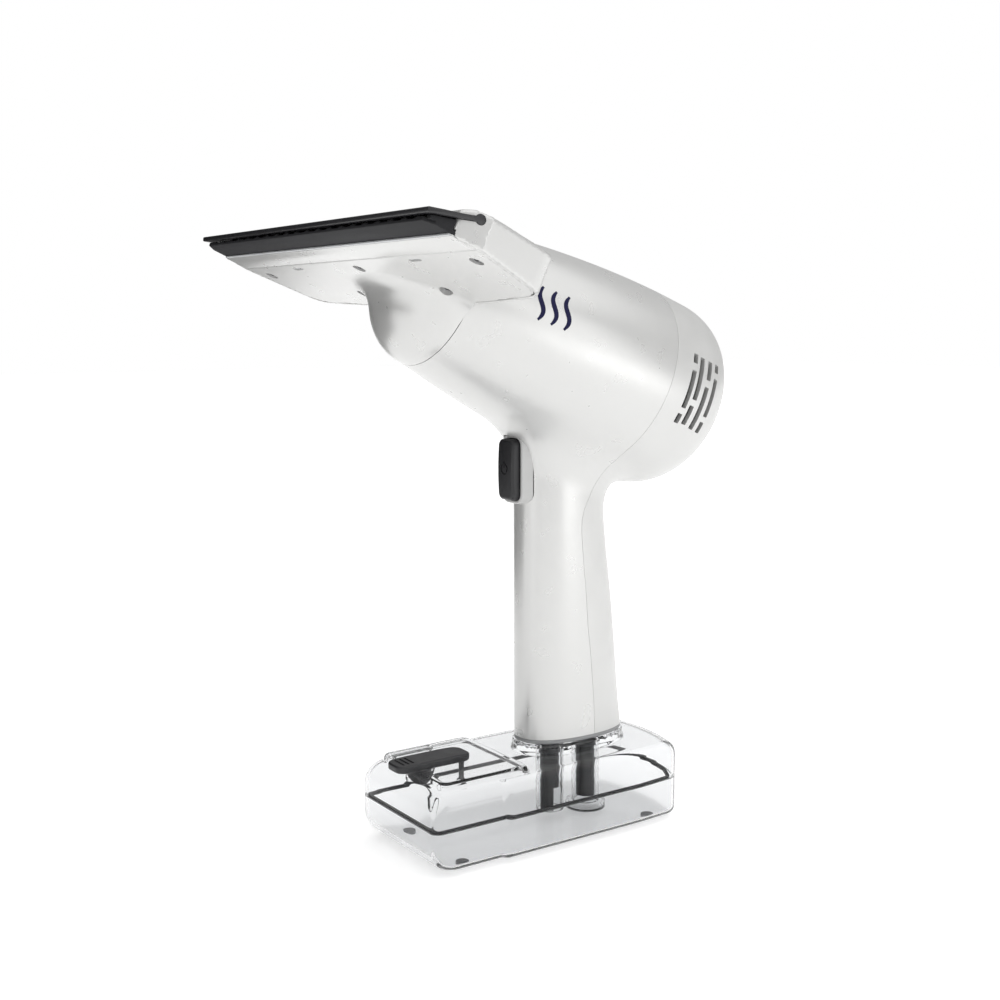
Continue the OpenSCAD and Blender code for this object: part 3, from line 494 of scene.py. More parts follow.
for side in (-1, 1):
    for back, spans in VENT_COLUMNS:
        for start, end in spans:
            carve(rear_shell, slot_tool(back, start, end, side))
carve(rear_shell, prism("inlet_hole", rounded_outline(20.4, 13.4, 2.2),
                        lambda u, v, w: from_barrel(u, v, w), 66, 90))
for shell in (front_shell, rear_shell):
    shade_by(shell, (body_rule, body_inside_rule))
print("rear shell faces:", len(rear_shell.data.polygons))

# %% [markdown]
# ## The steaming head
# The head is a wide, thin box that fans out from the round neck. Its roof is low over the wings and
# swells towards the neck to meet the barrel. The underside is a flat plate with a rounded nose that
# drops below it in front of the seam, with a soft fillet between the two.

# %% Form of the head
HEAD_FRONT, HEAD_RIDGE, HEAD_BACK = -134.2, -122.0, -78.4
HEAD_BROW, BROW_T = -128.8, 12.7
HEAD_HALF_W = 99.5
REAR_T = 16.5
PLATE_T = 2.4
EDGE = 1.3


def head_half_width(back):
    front = HEAD_HALF_W - 2.5 * (HEAD_RIDGE - back) / (HEAD_RIDGE - HEAD_FRONT)
    rear = HEAD_HALF_W - 7.0 * (back - HEAD_RIDGE) / (-95 - HEAD_RIDGE)
    return np.minimum(front, rear)


def roof_height(x, back):
    ridge = BROW_T + 0.4
    hump = REAR_T + 21.5 * np.exp(-np.abs(x / 26) ** 2.4)
    rise = np.clip((back - HEAD_RIDGE) / (HEAD_BACK + 2 - HEAD_RIDGE), -0.6, 1.3)
    straight = ridge + (hump - ridge) * rise
    low = ridge + (REAR_T - ridge) * rise
    front = np.minimum(ridge + 0.06 * (back - HEAD_RIDGE), BROW_T + 0.43 * (back - HEAD_BROW))
    return np.where(rise > 0, low + (straight - low) * np.clip(rise, 0, 1) ** 0.35, front)


def head_rule(p):
    x, back, up = head_frame(p)
    sides = np.abs(x) - head_half_width(back)
    rear = back - (HEAD_BACK - 5 * (x / 80) ** 2)
    outline = both(sides, rear, 9.0)
    outline = both(outline, HEAD_FRONT - back, EDGE)
    return both(both(outline, (up - roof_height(x, back)) * 0.9, EDGE), -up, EDGE * 0.7)


def nose_rule(p):
    x, up, back = barrel_frame(p)
    off, ahead = np.hypot(x, up), np.maximum(SEAM_HEAD - back, 0)
    radius = float(barrel_radius(np.array(SEAM_HEAD)))
    size = np.hypot(off / radius, ahead / 24.0)
    return np.maximum((1 - 1 / np.maximum(size, 1e-3)) * np.hypot(off, ahead), back - SEAM_HEAD - 6)


def plate_slab_rule(p):
    x, back, up = head_frame(p)
    inset = 1.8
    sides = np.abs(x) - head_half_width(back) + inset
    rear = back + inset - (HEAD_BACK - 5 * (x / 80) ** 2)
    flat = both(both(sides, rear, 8.0), -123.6 - back, 0.8)
    return both(both(flat, up - PLATE_T, 0.5), -up, 0.5)


def lower_form_rule(p):
    x, back, up = head_frame(p)
    nose = np.maximum(nose_rule(p), up - PLATE_T)
    return melt(plate_slab_rule(p), nose, 10.0)


def nose_hollow_rule(p):
    return nose_rule(p) + WALL


# %% Upper cover and lower plate
head_low = (-103, from_head(0, HEAD_FRONT, 0)[1] - 6, 232)
head_high = (103, from_head(0, HEAD_BACK, 40)[1] + 10, 286)
head_cover = moulded("head_cover", head_rule, head_low, head_high, 1.1)


def head_hollow_rule(p):
    x, back, up = head_frame(p)
    return np.maximum(head_rule(p) + WALL, HEAD_FRONT + 13 - back)


head_hollow = moulded("head_hollow", head_hollow_rule, head_low, head_high, 1.6)
carve(head_cover, head_hollow)
half_outline = [(96.4, -126), (97.6, -123.6), (97.3, -120), (94.8, -109), (90.8, -94.5)]
half_outline += [(90.5 - 9 * (1 - math.cos(a)), -94.3 + 8.7 * math.sin(a)) for a in np.linspace(0.3, 1.45, 6)]
plate_outline = half_outline + [(x, -80.0 - 5 * (x / 80) ** 2) for x in (60, 30, 0, -30, -60)]
plate_outline += [(-x, y) for x, y in reversed(half_outline)]
carve(head_cover, prism("plate_room", plate_outline, from_head, -6, PLATE_T + 0.1))
lip_room = [(-97.1, -140), (97.1, -140), (97.1, -123.4), (-97.1, -123.4)]
carve(head_cover, prism("lip_room", lip_room, from_head, -4, 2.8))
slot_room = [(-94, -140), (94, -140), (94, -120), (-94, -120)]
carve(head_cover, prism("slot_room", slot_room, from_head, 2, 6.0))
BEAD = np.array([-126.5, 10.0])
TIP = np.array([-147.4, 3.6])
BEAD_R, BEAD_PLAY = 2.0, 0.06
along = (TIP - BEAD) / np.linalg.norm(TIP - BEAD)
lift = np.array([along[1], -along[0]])
room_l, room_half = 22.4, 1.1
blade_room = [tuple(BEAD + along * room_l * t - lift * room_half * side)
              for t, side in ((0, 1), (1, 1), (1, -1), (0, -1))]
bead_room = [(BEAD[0] + u, BEAD[1] + v) for u, v in circle_outline(BEAD_R + BEAD_PLAY, 40)]
across_head = lambda u, v, w: from_head(w, u, v)
for outline in (blade_room, bead_room):
    carve(head_cover, prism("blade_room", outline, across_head, -101, 101))
carve(head_cover, barrel_cylinder("seam_cut", 47, SEAM_HEAD - 0.35, SEAM_HEAD + 60))
carve(head_cover, barrel_cylinder("neck_bore", 27.7, SEAM_HEAD - 3.2, SEAM_HEAD + 4))

lower_plate = moulded("lower_plate", lower_form_rule, (-103, head_low[1], 200), head_high, 1.1)
nose_hollow = moulded("nose_hollow", nose_hollow_rule, (-46, GRIP_Y - 102, 200), (46, GRIP_Y - 50, 290), 1.6)
carve(lower_plate, nose_hollow)
carve(lower_plate, barrel_cylinder("seam_cut", 47, SEAM_HEAD - 0.35, SEAM_HEAD + 60))
SCREW_SPOTS = ((-86, -115), (86, -115), (0, -116), (-34.5, -93.5), (34.5, -93.5))
CLIP_SPOTS = ((-50, -119.4), (50, -119.4))
for sx, sy in SCREW_SPOTS:
    place = lambda u, v, w, sx=sx, sy=sy: from_head(sx + u, sy + v, w)
    carve(lower_plate, prism("recess", circle_outline(2.9, 32), place, -2, 1.8))
for sx, sy in CLIP_SPOTS:
    place = lambda u, v, w, sx=sx, sy=sy: from_head(sx + u, sy + v, w)
    carve(lower_plate, prism("clip_room", rounded_outline(8.4, 1.9, 0.9), place, -2, 1.2))
shade_by(head_cover, (head_rule, head_hollow_rule))
shade_by(lower_plate, (lower_form_rule, nose_hollow_rule))
print("head cover faces:", len(head_cover.data.polygons))
print("lower plate faces:", len(lower_plate.data.polygons))

# %% [markdown]
# ## The wiping blade, the ribbed lip and its clamp
# A soft blade with a round bead slides into a channel along the head's front. Under it a stiffer lip
# carries small wedges that keep the steam slot open against cloth. Both are extrusions, so a section
# drawn once and swept across the head is the honest way to make them, with every edge a little broken.

# %% Helpers for extruded and turned parts
def soften(obj, width, segments=3, angle=35):
    """Break the edges of a crisp form and shade it smoothly."""
    bevel = obj.modifiers.new("soften", "BEVEL")
    bevel.width, bevel.segments, bevel.limit_method = width * MM, segments, "ANGLE"
    bevel.angle_limit, bevel.harden_normals = math.radians(angle), False
    apply_modifiers(obj)
    smooth_sides(obj)


def smooth_sides(obj, angle=38):
    obj.data.polygons.foreach_set("use_smooth", [True] * len(obj.data.polygons))
    obj.data.set_sharp_from_angle(angle=math.radians(angle))


def joined(name, parts):
    """One object from several closed forms that don't touch or only just meet."""
    with bpy.context.temp_override(active_object=parts[0], object=parts[0], selected_objects=parts,
                                   selected_editable_objects=parts):
        bpy.ops.object.join()
    parts[0].name = name
    return parts[0]


def arc_points(cx, cy, r, start, end, steps):
    return [(cx + r * math.cos(a), cy + r * math.sin(a))
            for a in np.radians(np.linspace(start, end, steps))]


# %% Blade
def on_blade(distance, rise):
    return tuple(BEAD + along * distance + lift * rise)


blade_length = float(np.linalg.norm(TIP - BEAD))
lean = math.degrees(math.atan2(along[1], along[0]))
blade_outline = arc_points(*BEAD, BEAD_R, lean + 30, lean + 330, 25)
upper_side = [(3.4, 0.85), (9, 0.9), (15, 1.0)]
upper_side += [(blade_length - back, rise) for back, rise in ((0.5, 1.0), (0.15, 0.85), (0, 0.5))]
lower_side = [(blade_length - back, rise) for back, rise in ((0, -0.55), (0.15, -0.85), (0.5, -0.98))]
lower_side += [(15, -0.98), (9, -0.9), (3.4, -0.85)]
blade_outline += [on_blade(distance, rise) for distance, rise in upper_side + lower_side]
BLADE_HALF_W = 98.8
blade = prism("blade", blade_outline, across_head, -BLADE_HALF_W, BLADE_HALF_W)
soften(blade, 0.22, 2)

# %% Ribbed lip with mitred ends, and the strip that clamps it
LIP_Z, LIP_T, RIB_T, RIB_COUNT = 0.8, 1.7, 1.5, 20
lip_outline = [(-93.5, -145.4), (93.5, -145.4), (96.9, -141.6), (97, -125.6), (-97, -125.6), (-96.9, -141.6)]
lip = prism("lip", lip_outline, from_head, LIP_Z, LIP_Z + LIP_T)
soften(lip, 0.3, 3)
rib_outline = [(-145.3, LIP_Z + 1.0), (-145.3, 2.75), (-144.8, 3.05), (-135.6, 5.85), (-135, 5.7),
               (-135, LIP_Z + 1.0)]
rib_places = [-90 + 180 * i / (RIB_COUNT - 1) for i in range(RIB_COUNT)]
notches = joined("notches", [
    prism("notch", [(-147, 1.75), (-144.2, 1.75), (-142.6, 3.4), (-147, 3.4)], across_head, a + 1.9, b - 1.9)
    for a, b in zip(rib_places[:-1], rib_places[1:])])
carve(lip, notches)
end_outline = [(-144.4, LIP_Z + 1.0), (-144.4, 3.15), (-134.4, 6.1), (-134.4, LIP_Z + 1.0)]
for x, half, outline in [(x, RIB_T / 2, rib_outline) for x in rib_places] + [(-95.7, 1.25, end_outline),
                                                                              (95.7, 1.25, end_outline)]:
    rib = prism("rib", outline, across_head, x - half, x + half)
    soften(rib, 0.18, 2)
    carve(lip, rib, "UNION")
smooth_sides(lip, 30)
clamp_outline = [(-96.6, -134.4), (96.6, -134.4), (96.8, -134.1), (96.8, -123.75), (-96.8, -123.75),
                 (-96.8, -134.1)]
clamp = prism("lip_strip", clamp_outline, from_head, 0.0, LIP_Z - 0.05)
soften(clamp, 0.12, 2)
# The thin grey strip along the clamp's front edge is painted shade: a grey piece laid where the clamp's front
# face falls into shade.
painted_shade_strip = prism("painted_shade_strip", [(-96.0, -135.3), (96.0, -135.3), (96.7, -134.5), (-96.7, -134.5)], from_head,
                 0.05, LIP_Z - 0.03)
soften(painted_shade_strip, 0.12, 2)
print("ribs on the lip:", RIB_COUNT)

# %% [markdown]
# ## Screws
# Pan-head screws close the plate under the head and the foot of the grip. A screw head is turned, then
# struck with a cross recess, so it is made here the same way: a lathed dome and a cross-shaped cutter.

# %% Turned screws with a cross recess
def turned(name, profile, place, steps=40):
    """A lathed form: profile runs from the axis out and back to the axis as (radius, height)."""
    turns = np.linspace(0, math.tau, steps, endpoint=False)
    rings = [[place(r * math.cos(a), r * math.sin(a), h) for a in turns] for r, h in profile[1:-1]]
    points = [place(0, 0, profile[0][1])]
    points += [p for ring in rings for p in ring]
    points.append(place(0, 0, profile[-1][1]))
    faces = []
    for k in range(len(rings) - 1):
        a, b = 1 + k * steps, 1 + (k + 1) * steps
        faces += [[a + i, a + (i + 1) % steps, b + (i + 1) % steps, b + i] for i in range(steps)]
    last = len(points) - 1
    faces += [[0, 1 + (i + 1) % steps, 1 + i] for i in range(steps)]
    faces += [[last, last - steps + i, last - steps + (i + 1) % steps] for i in range(steps)]
    obj = new_object(name, points, faces)
    face_outward(obj)
    return obj


def screw(name, head_r, head_t, shank_r, shank_l, place):
    """A pan-head screw whose head's top is at height 0 and whose shank points up the place's axis."""
    profile = [(0, 0)]
    profile += [(head_r * math.sin(a), head_t * 0.8 * (1 - math.cos(a))) for a in np.linspace(0.25, 1.57, 8)]
    profile += [(head_r, head_t), (shank_r, head_t + 0.05), (shank_r, head_t + shank_l - 0.5),
                (shank_r * 0.5, head_t + shank_l), (0, head_t + shank_l)]
    obj = turned(name, profile, place)
    arm, half = head_r * 0.62, head_r * 0.14
    cross = [(arm, half), (half, half), (half, arm), (-half, arm), (-half, half), (-arm, half),
             (-arm, -half), (-half, -half), (-half, -arm), (half, -arm), (half, -half), (arm, -half)]
    carve(obj, prism("cross", cross, place, -1, head_t * 0.62))
    smooth_sides(obj, 30)
    return obj


plate_screws = joined("plate_screws", [
    screw("plate_screw", 2.55, 1.35, 1.4, 5.4,
          lambda u, v, w, sx=sx, sy=sy: from_head(sx + u, sy + v, 0.35 + w))
    for sx, sy in SCREW_SPOTS])
FOOT_SCREW_Y, FOOT_SCREW_LOW = (-16.6, 23.6), 42.15
grip_screws = joined("grip_screws", [
    screw("grip_screw", 2.5, 1.5, 1.45, 10.9, lambda u, v, w, y=y: from_grip(u, y + v, FOOT_SCREW_LOW + w))
    for y in FOOT_SCREW_Y])
print("screws:", len(SCREW_SPOTS) + len(FOOT_SCREW_Y))

# %% [markdown]
# ## The push button and its bezel
# The button is a tall rubbery pad with a crowned face, framed by a white bezel. A small ring and stroke
# are sunk in the pad's face. Rounded boxes described by a rule give soft, even edges here.

# %% Rule for a rounded bar
def round_off(a, b, r):
    """Overlap of two forms whose shared edge is rounded to radius r."""
    return np.minimum(np.maximum(a, b) + r, 0) + np.hypot(np.maximum(a + r, 0), np.maximum(b + r, 0)) - r


def rounded_rect_rule(u, v, w, h, r):
    du, dv = np.abs(u) - w / 2 + r, np.abs(v) - h / 2 + r
    return np.minimum(np.maximum(du, dv), 0) + np.hypot(np.maximum(du, 0), np.maximum(dv, 0)) - r


BUTTON_FACE, BEZEL_FACE, BEZEL_BACK = -33.5, -29.2, -22.7
BUTTON_W, BUTTON_H = 12.0, 27.5


def button_rule(p):
    x, y, v = p[..., 0], p[..., 1] - GRIP_Y, p[..., 2] - button_mid_z
    crown = BUTTON_FACE + 0.9 * ((v / (BUTTON_H / 2)) ** 2 * 0.7 + (x / (BUTTON_W / 2)) ** 2 * 0.5)
    pad = round_off(rounded_rect_rule(x, v, BUTTON_W, BUTTON_H, 3.0), crown - y, 1.2)
    pad = np.maximum(pad, y - BEZEL_BACK - 0.8)
    rim = round_off(rounded_rect_rule(x, v, 14.0, 29.4, 3.5), np.abs(y - BEZEL_BACK - 1.0) - 0.7, 0.2)
    stem = np.maximum(np.hypot(x, v) - 1.8, np.abs(y - BEZEL_BACK - 1.9) - 1.48)
    return np.minimum(np.minimum(pad, rim), stem)


def bezel_rule(p):
    x, y, v = p[..., 0], p[..., 1] - GRIP_Y, p[..., 2] - button_mid_z
    ring = np.maximum(rounded_rect_rule(x, v, 16, 31, 4.8), -rounded_rect_rule(x, v, 12.6, 28.1, 3.3))
    return round_off(ring, np.maximum(BEZEL_FACE - y, y - BEZEL_BACK), 0.6)


button = moulded("button", button_rule, (-8, GRIP_Y - 35, 153), (8, GRIP_Y - 18, 186.5), 0.42)
face_at = lambda u, v, w: from_grip(u, w, button_mid_z + 0.5 + v)
ring = prism("ring", circle_outline(2.7), face_at, -36, BUTTON_FACE + 0.45)
carve(ring, prism("ring_core", circle_outline(1.95), face_at, -38, -30))
carve(ring, prism("ring_gap", [(-0.95, 0), (0.95, 0), (0.95, 4), (-0.95, 4)], face_at, -38, -30))
carve(button, ring)
carve(button, prism("stroke", rounded_outline(0.8, 3.0, 0.39),
                    lambda u, v, w: face_at(u, v + 1.9, w), -36, BUTTON_FACE + 0.45))
shade_by(button, (button_rule,))
bezel = moulded("bezel", bezel_rule, (-9, GRIP_Y - 30.5, 152.5), (9, GRIP_Y - 21.5, 187), 0.45)
shade_by(bezel, (bezel_rule,), near=0.1)

# %% [markdown]
# ## The grip's end plate
# A grey plate closes the foot of the grip and holds the two tubes. It shows as a thin ring between the
# white grip and the clear tank.

# %% End plate
PLATE_LOW = 42.0
TUBE_R = 4.5
TUBE_Y = (-7.2, 14.2)
REAR_FOOT = float(rear_curve(GRIP_FOOT))


def grip_section(p, grow):
    """Distance from the outline of the grip's foot, moved out by grow."""
    x, y = p[..., 0], p[..., 1] - GRIP_Y
    mid, half = (GRIP_FRONT + REAR_FOOT) / 2, (REAR_FOOT - GRIP_FRONT) / 2 + grow
    return oval(x, y - mid, GRIP_HALF_W + grow, half)


def end_plate_rule(p):
    z = p[..., 2]
    ring_ = round_off(grip_section(p, -0.1), np.maximum(PLATE_LOW - z, z - GRIP_FOOT + 0.05), 0.5)
    plug_ = round_off(grip_section(p, -3.4), np.maximum(GRIP_FOOT - 1 - z, z - GRIP_FOOT - 4), 0.5)
    return np.minimum(ring_, plug_)


end_plate = moulded("end_plate", end_plate_rule, (-18, GRIP_Y - 27, 40.5), (18, GRIP_Y + 34.5, 49), 0.6)
for y in TUBE_Y:
    carve(end_plate, prism("bore", circle_outline(TUBE_R + 0.05, 64),
                           lambda u, v, w, y=y: from_grip(u, y + v, w), 38, 60))
for y in FOOT_SCREW_Y:
    place = lambda u, v, w, y=y: from_grip(u, y + v, w)
    carve(end_plate, prism("shank_hole", circle_outline(1.7, 32), place, 38, 60))
    carve(end_plate, prism("head_hole", circle_outline(2.75, 40), place, 38, FOOT_SCREW_LOW + 1.6))
shade_by(end_plate, (end_plate_rule,), near=0.1)

# %% [markdown]
# ## The clear tank
# The tank is moulded in two clear halves with a dark seal between them. It needs real wall thickness,
# because light bends once on the outer skin and again on the inner one: that is what draws the bright
# edges and the thin dark lines of a clear box. So each half is an outer form less an inner form.

# %% Form of the tank
TANK_FRONT, TANK_REAR, TANK_TOP, STEP_TOP, STEP_Y = -91.0, 52.0, 40.2, 38.6, -37.0
TANK_FLOOR, TANK_WALL, SEAL_Z = 0.6, 2.0, 20.4
FRONT_HALF_W, REAR_HALF_W, JOG_Y = 32.3, 34.5, -54.0


def ease(t):
    t = np.clip(t, 0, 1)
    return t * t * (3 - 2 * t)


def tank_half_width(y):
    jog = (REAR_HALF_W - FRONT_HALF_W) * ease((y - JOG_Y + 1.6) / 3.2)
    return FRONT_HALF_W + jog - 1.6 * ease((y - 18) / 30)


def tank_box_rule(p):
    """A box whose front end is rounded like the end of a loaf, above and below."""
    x, y, z = p[..., 0], p[..., 1] - GRIP_Y, p[..., 2]
    rear = round_off(np.abs(x) - tank_half_width(y), y - TANK_REAR + 7.0 * (x / 33) ** 2, 6.0)
    upright = round_off(round_off(rear, z - STEP_TOP, 8.0), TANK_FLOOR - z, 5.0)
    end = round_off(round_off(TANK_FRONT - y, z - STEP_TOP, 13.0), TANK_FLOOR - z, 14.0)
    return round_off(upright, end, 4.5)


def raised_roof_rule(p):
    """The part of the roof in front of the step, which carries the plug."""
    x, y, z = p[..., 0], p[..., 1] - GRIP_Y, p[..., 2]
    middle, length = (STEP_Y - 84.0) / 2, STEP_Y + 84.0
    return round_off(rounded_rect_rule(x, y - middle, 54.0, length, 5.0), z - TANK_TOP, 2.2)


def seat_rule(p, grow, top):
    return round_off(grip_section(p, grow), np.maximum(30 - p[..., 2], p[..., 2] - top), 0.5)


def tank_walls_rule(p):
    return melt(tank_box_rule(p), np.maximum(raised_roof_rule(p), 30 - p[..., 2]), 1.4)


def tank_rule(p):
    return melt(tank_walls_rule(p), seat_rule(p, 0.9, PLATE_LOW - 0.02), 2.2)


def tank_inside_rule(p):
    return melt(tank_walls_rule(p) + TANK_WALL, seat_rule(p, -0.9, PLATE_LOW - TANK_WALL), 1.6)


tank_area_low = (-37, GRIP_Y + TANK_FRONT - 2, -1)
tank_area_high = (37, GRIP_Y + TANK_REAR + 2, 43)
tank_form = moulded("tank_form", tank_rule, tank_area_low, tank_area_high, 1.15)
tank_room = moulded("tank_room", tank_inside_rule, tank_area_low, tank_area_high, 1.15)
carve(tank_form, tank_room)

# %% Tank halves
def slab(name, low, high):
    return prism(name, [(-60, -110), (60, -110), (60, 90), (-60, 90)], from_grip, low, high)


tank_base = copy_of(tank_form, "tank_base")
tank_lid = tank_form
tank_lid.name = "tank_lid"
carve(tank_base, slab("above_seal", SEAL_Z, 60))
carve(tank_lid, slab("below_seal", -10, SEAL_Z + 0.05))
PLUG_Y, PIN_Y, STOPPER_R = -78.5, -57.0, 6.2
for y, r in ((TUBE_Y[0], 5.4), (TUBE_Y[1], 5.4), (PLUG_Y, STOPPER_R + 0.3), (PIN_Y, 3.2)):
    place = lambda u, v, w, y=y: from_grip(u, y + v, w)
    carve(tank_lid, prism("opening", circle_outline(r, 64), place, 25, 60))
for half in (tank_base, tank_lid):
    shade_by(half, (tank_rule, tank_inside_rule))
print("tank faces:", len(tank_base.data.polygons), len(tank_lid.data.polygons))

# %% [markdown]
# ## The filler plug
# A rubber strap lies on the tank's roof. Its front end carries the stopper and three grip ribs, and a
# pin at its rear end is pushed through the roof so that the plug can't be lost.

# %% Plug
STRAP_Z, STRAP_T = 40.3, 3.6
STRAP_Y, STRAP_W, STRAP_L = -74.0, 13.5, 38.0


def plug_rule(p):
    x, y, z = p[..., 0], p[..., 1] - GRIP_Y, p[..., 2]
    top = STRAP_Z + STRAP_T - 0.35 * ease((np.abs(y - STRAP_Y) - 8) / 12)
    strap = rounded_rect_rule(x, y - STRAP_Y, STRAP_W, STRAP_L, 4.5)
    strap = round_off(strap, np.maximum(z - top, STRAP_Z - z), 0.9)
    off = np.hypot(x, y - PLUG_Y)
    taper = STOPPER_R - 1.3 * ease((38 - z) / 5)
    stopper = round_off(off - taper, 33.0 - z, 0.8)
    stopper = np.maximum(stopper, z - STRAP_Z - 1)
    off = np.hypot(x, y - PIN_Y)
    barb = 1.0 * ease((29.9 - z) / 1.2) * ease((z - 26.4) / 1.6)
    pin = np.maximum(off - 1.2 - barb - 1.6 * ease((z - 36) / 4.6), np.maximum(27.6 - z, z - STRAP_Z - 1))
    return melt(melt(strap, stopper, 0.8), pin, 0.6)


plug = moulded("plug", plug_rule, (-8, GRIP_Y - 95, 26.5), (8, GRIP_Y - 53, 45), 0.5)
for y in (-89.3, -86.9, -84.5):
    place = lambda u, v, w, y=y: from_grip(u, y + v, w)
    carve(plug, prism("rib_cut", rounded_outline(8.4, 1.0, 0.49), place, 43.3, 46))
shade_by(plug, (plug_rule,))

# %% [markdown]
# ## Steam mark on the barrel's side
# A small printed mark of three rising wavy lines says "steam" without any words. Print is a film of
# ink with a thickness, so each line is a thin closed ribbon laid on the barrel's round.

# %% Wavy lines
PRINT_PROUD = 0.07


def ribbon(name, centre, half_w, steps=40):
    """A thin closed strip on the barrel: centre(t) gives the place back along it and round it in mm."""
    top = []
    for t in np.linspace(0, 1, steps):
        here, ahead = np.array(centre(t)), np.array(centre(t + 0.01))
        go = (ahead - here) / np.linalg.norm(ahead - here)
        aside = np.array([-go[1], go[0]]) * half_w * (math.sin(math.pi * min(max(t, 0.04), 0.96)) ** 0.35)
        top.append((here - aside, here + aside))
    points, faces = [], []
    for rise in (PRINT_PROUD, -0.3):
        for pair in top:
            for back, round_ in pair:
                radius = float(barrel_radius(np.array(back)))
                a = math.radians(79) + round_ / radius
                points.append(from_barrel((radius + rise) * math.sin(a), (radius + rise) * math.cos(a), back))
    n = 2 * steps
    for k in range(steps - 1):
        a = 2 * k
        faces += [[a, a + 1, a + 3, a + 2], [n + a, n + a + 2, n + a + 3, n + a + 1]]
        faces += [[a, a + 2, n + a + 2, n + a], [a + 1, n + a + 1, n + a + 3, a + 3]]
    faces += [[0, n, n + 1, 1], [n - 2, n - 1, 2 * n - 1, 2 * n - 2]]
    obj = new_object(name, points, faces)
    face_outward(obj)
    smooth_sides(obj)
    return obj


waves = [ribbon("wave", lambda t, k=k: (-39 + 6.5 * k + 1.5 * math.sin(math.tau * t), 7.5 - 15 * t), 1.15)
         for k in (-1, 0, 1)]
steam_mark = joined("steam_mark", waves)

# %% [markdown]
# ## Finishes
# A real moulding is never one flat colour. Its gloss drifts a little, the mould leaves a faint orange
# peel, and handling rubs the corners. Each finish below starts from one recipe: a colour that drifts,
# a roughness that drifts, and two sizes of bump. Only the numbers tell gloss plastic from rubber.

# %% The shared recipe
def finish(name, colour, rough, drift=0.03, rough_drift=0.06, peel=0.02, peel_size=1.2,
           grain=0.0, grain_size=0.25, metallic=0.0, specular=0.5, streak=None, rub=0.0, rub_colour=None):
    """Colour and roughness that drift, with a broad peel and a fine grain, sizes in millimetres."""
    material = bpy.data.materials.new(name)
    material.use_nodes = True
    tree = material.node_tree
    shader = tree.nodes["Principled BSDF"]
    shader.inputs["Metallic"].default_value = metallic
    shader.inputs["Specular IOR Level"].default_value = specular
    where = tree.nodes.new("ShaderNodeTexCoord")
    place = where.outputs["Object"]
    if streak:
        stretch = tree.nodes.new("ShaderNodeMapping")
        stretch.inputs["Scale"].default_value = streak
        tree.links.new(place, stretch.inputs["Vector"])
        place = stretch.outputs["Vector"]

    def noise(size, detail=2.0):
        node = tree.nodes.new("ShaderNodeTexNoise")
        node.inputs["Scale"].default_value = 1 / (size * MM)
        node.inputs["Detail"].default_value = detail
        tree.links.new(place, node.inputs["Vector"])
        return node.outputs["Fac"]

    def spread(source, low, high):
        node = tree.nodes.new("ShaderNodeMapRange")
        node.inputs["From Min"].default_value, node.inputs["From Max"].default_value = 0.3, 0.7
        node.inputs["To Min"].default_value, node.inputs["To Max"].default_value = low, high
        tree.links.new(source, node.inputs["Value"])
        return node.outputs["Result"]

    def blend_colours(factor, first, second):
        node = tree.nodes.new("ShaderNodeMix")
        node.data_type = "RGBA"
        for socket, value in ((node.inputs[6], first), (node.inputs[7], second)):
            if isinstance(value, tuple):
                socket.default_value = (*value, 1)
            else:
                tree.links.new(value, socket)
        tree.links.new(factor, node.inputs["Factor"])
        return node.outputs[2]

    dark = tuple(c * (1 - drift) for c in colour)
    light = tuple(min(1, c * (1 + drift)) for c in colour)
    shade = blend_colours(spread(noise(28), 0, 1), dark, light)
    roughness = spread(noise(9), rough - rough_drift, rough + rough_drift)
    if rub:
        edge = tree.nodes.new("ShaderNodeNewGeometry").outputs["Pointiness"]
        worn = tree.nodes.new("ShaderNodeMapRange")
        worn.inputs["From Min"].default_value, worn.inputs["From Max"].default_value = 0.53, 0.62
        worn.inputs["To Max"].default_value = rub
        tree.links.new(edge, worn.inputs["Value"])
        paler = rub_colour or tuple(min(1, c * 1.5) for c in colour)
        shade = blend_colours(worn.outputs["Result"], shade, paler)
    tree.links.new(shade, shader.inputs["Base Color"])
    tree.links.new(roughness, shader.inputs["Roughness"])
    under = None
    for strength, size in ((peel, peel_size), (grain, grain_size)):
        if strength:
            bump = tree.nodes.new("ShaderNodeBump")
            bump.inputs["Strength"].default_value = strength
            bump.inputs["Distance"].default_value = 0.1 * MM
            tree.links.new(noise(size), bump.inputs["Height"])
            if under:
                tree.links.new(under, bump.inputs["Normal"])
            under = bump.outputs["Normal"]
    if under:
        tree.links.new(under, shader.inputs["Normal"])
    return material


# %% [markdown]
# The barrel and head are a pearly gloss plastic, moulded in a polished tool. The rear shell comes from
# a tool that was blasted, so it is matt with a fine grain. The bezel is a
# plainer grey-white.

# %% Housing plastics
gloss_white = finish("gloss_white", (0.67, 0.67, 0.66), 0.29, drift=0.010, rough_drift=0.02, peel=0.015,
                     peel_size=3.5, metallic=0.5)
matt_white = finish("matt_white", (0.67, 0.67, 0.66), 0.37, drift=0.012, peel=0.04, peel_size=1.4,
                    grain=0.08, grain_size=0.22, metallic=0.4)
soft_grey = finish("soft_grey", (0.30, 0.305, 0.31), 0.42, peel=0.05, grain=0.1)
bezel_white = finish("bezel_white", (0.52, 0.52, 0.515), 0.34, drift=0.01, peel=0.02, peel_size=2.6)
clip_grey = finish("clip_grey", (0.58, 0.59, 0.60), 0.35, peel=0.05, grain=0.06)

# %% [markdown]
# The blade, the plug and the button are dark rubbers. Rubber shines weakly, in a broad sheen, and its
# corners turn a little grey where they are handled.

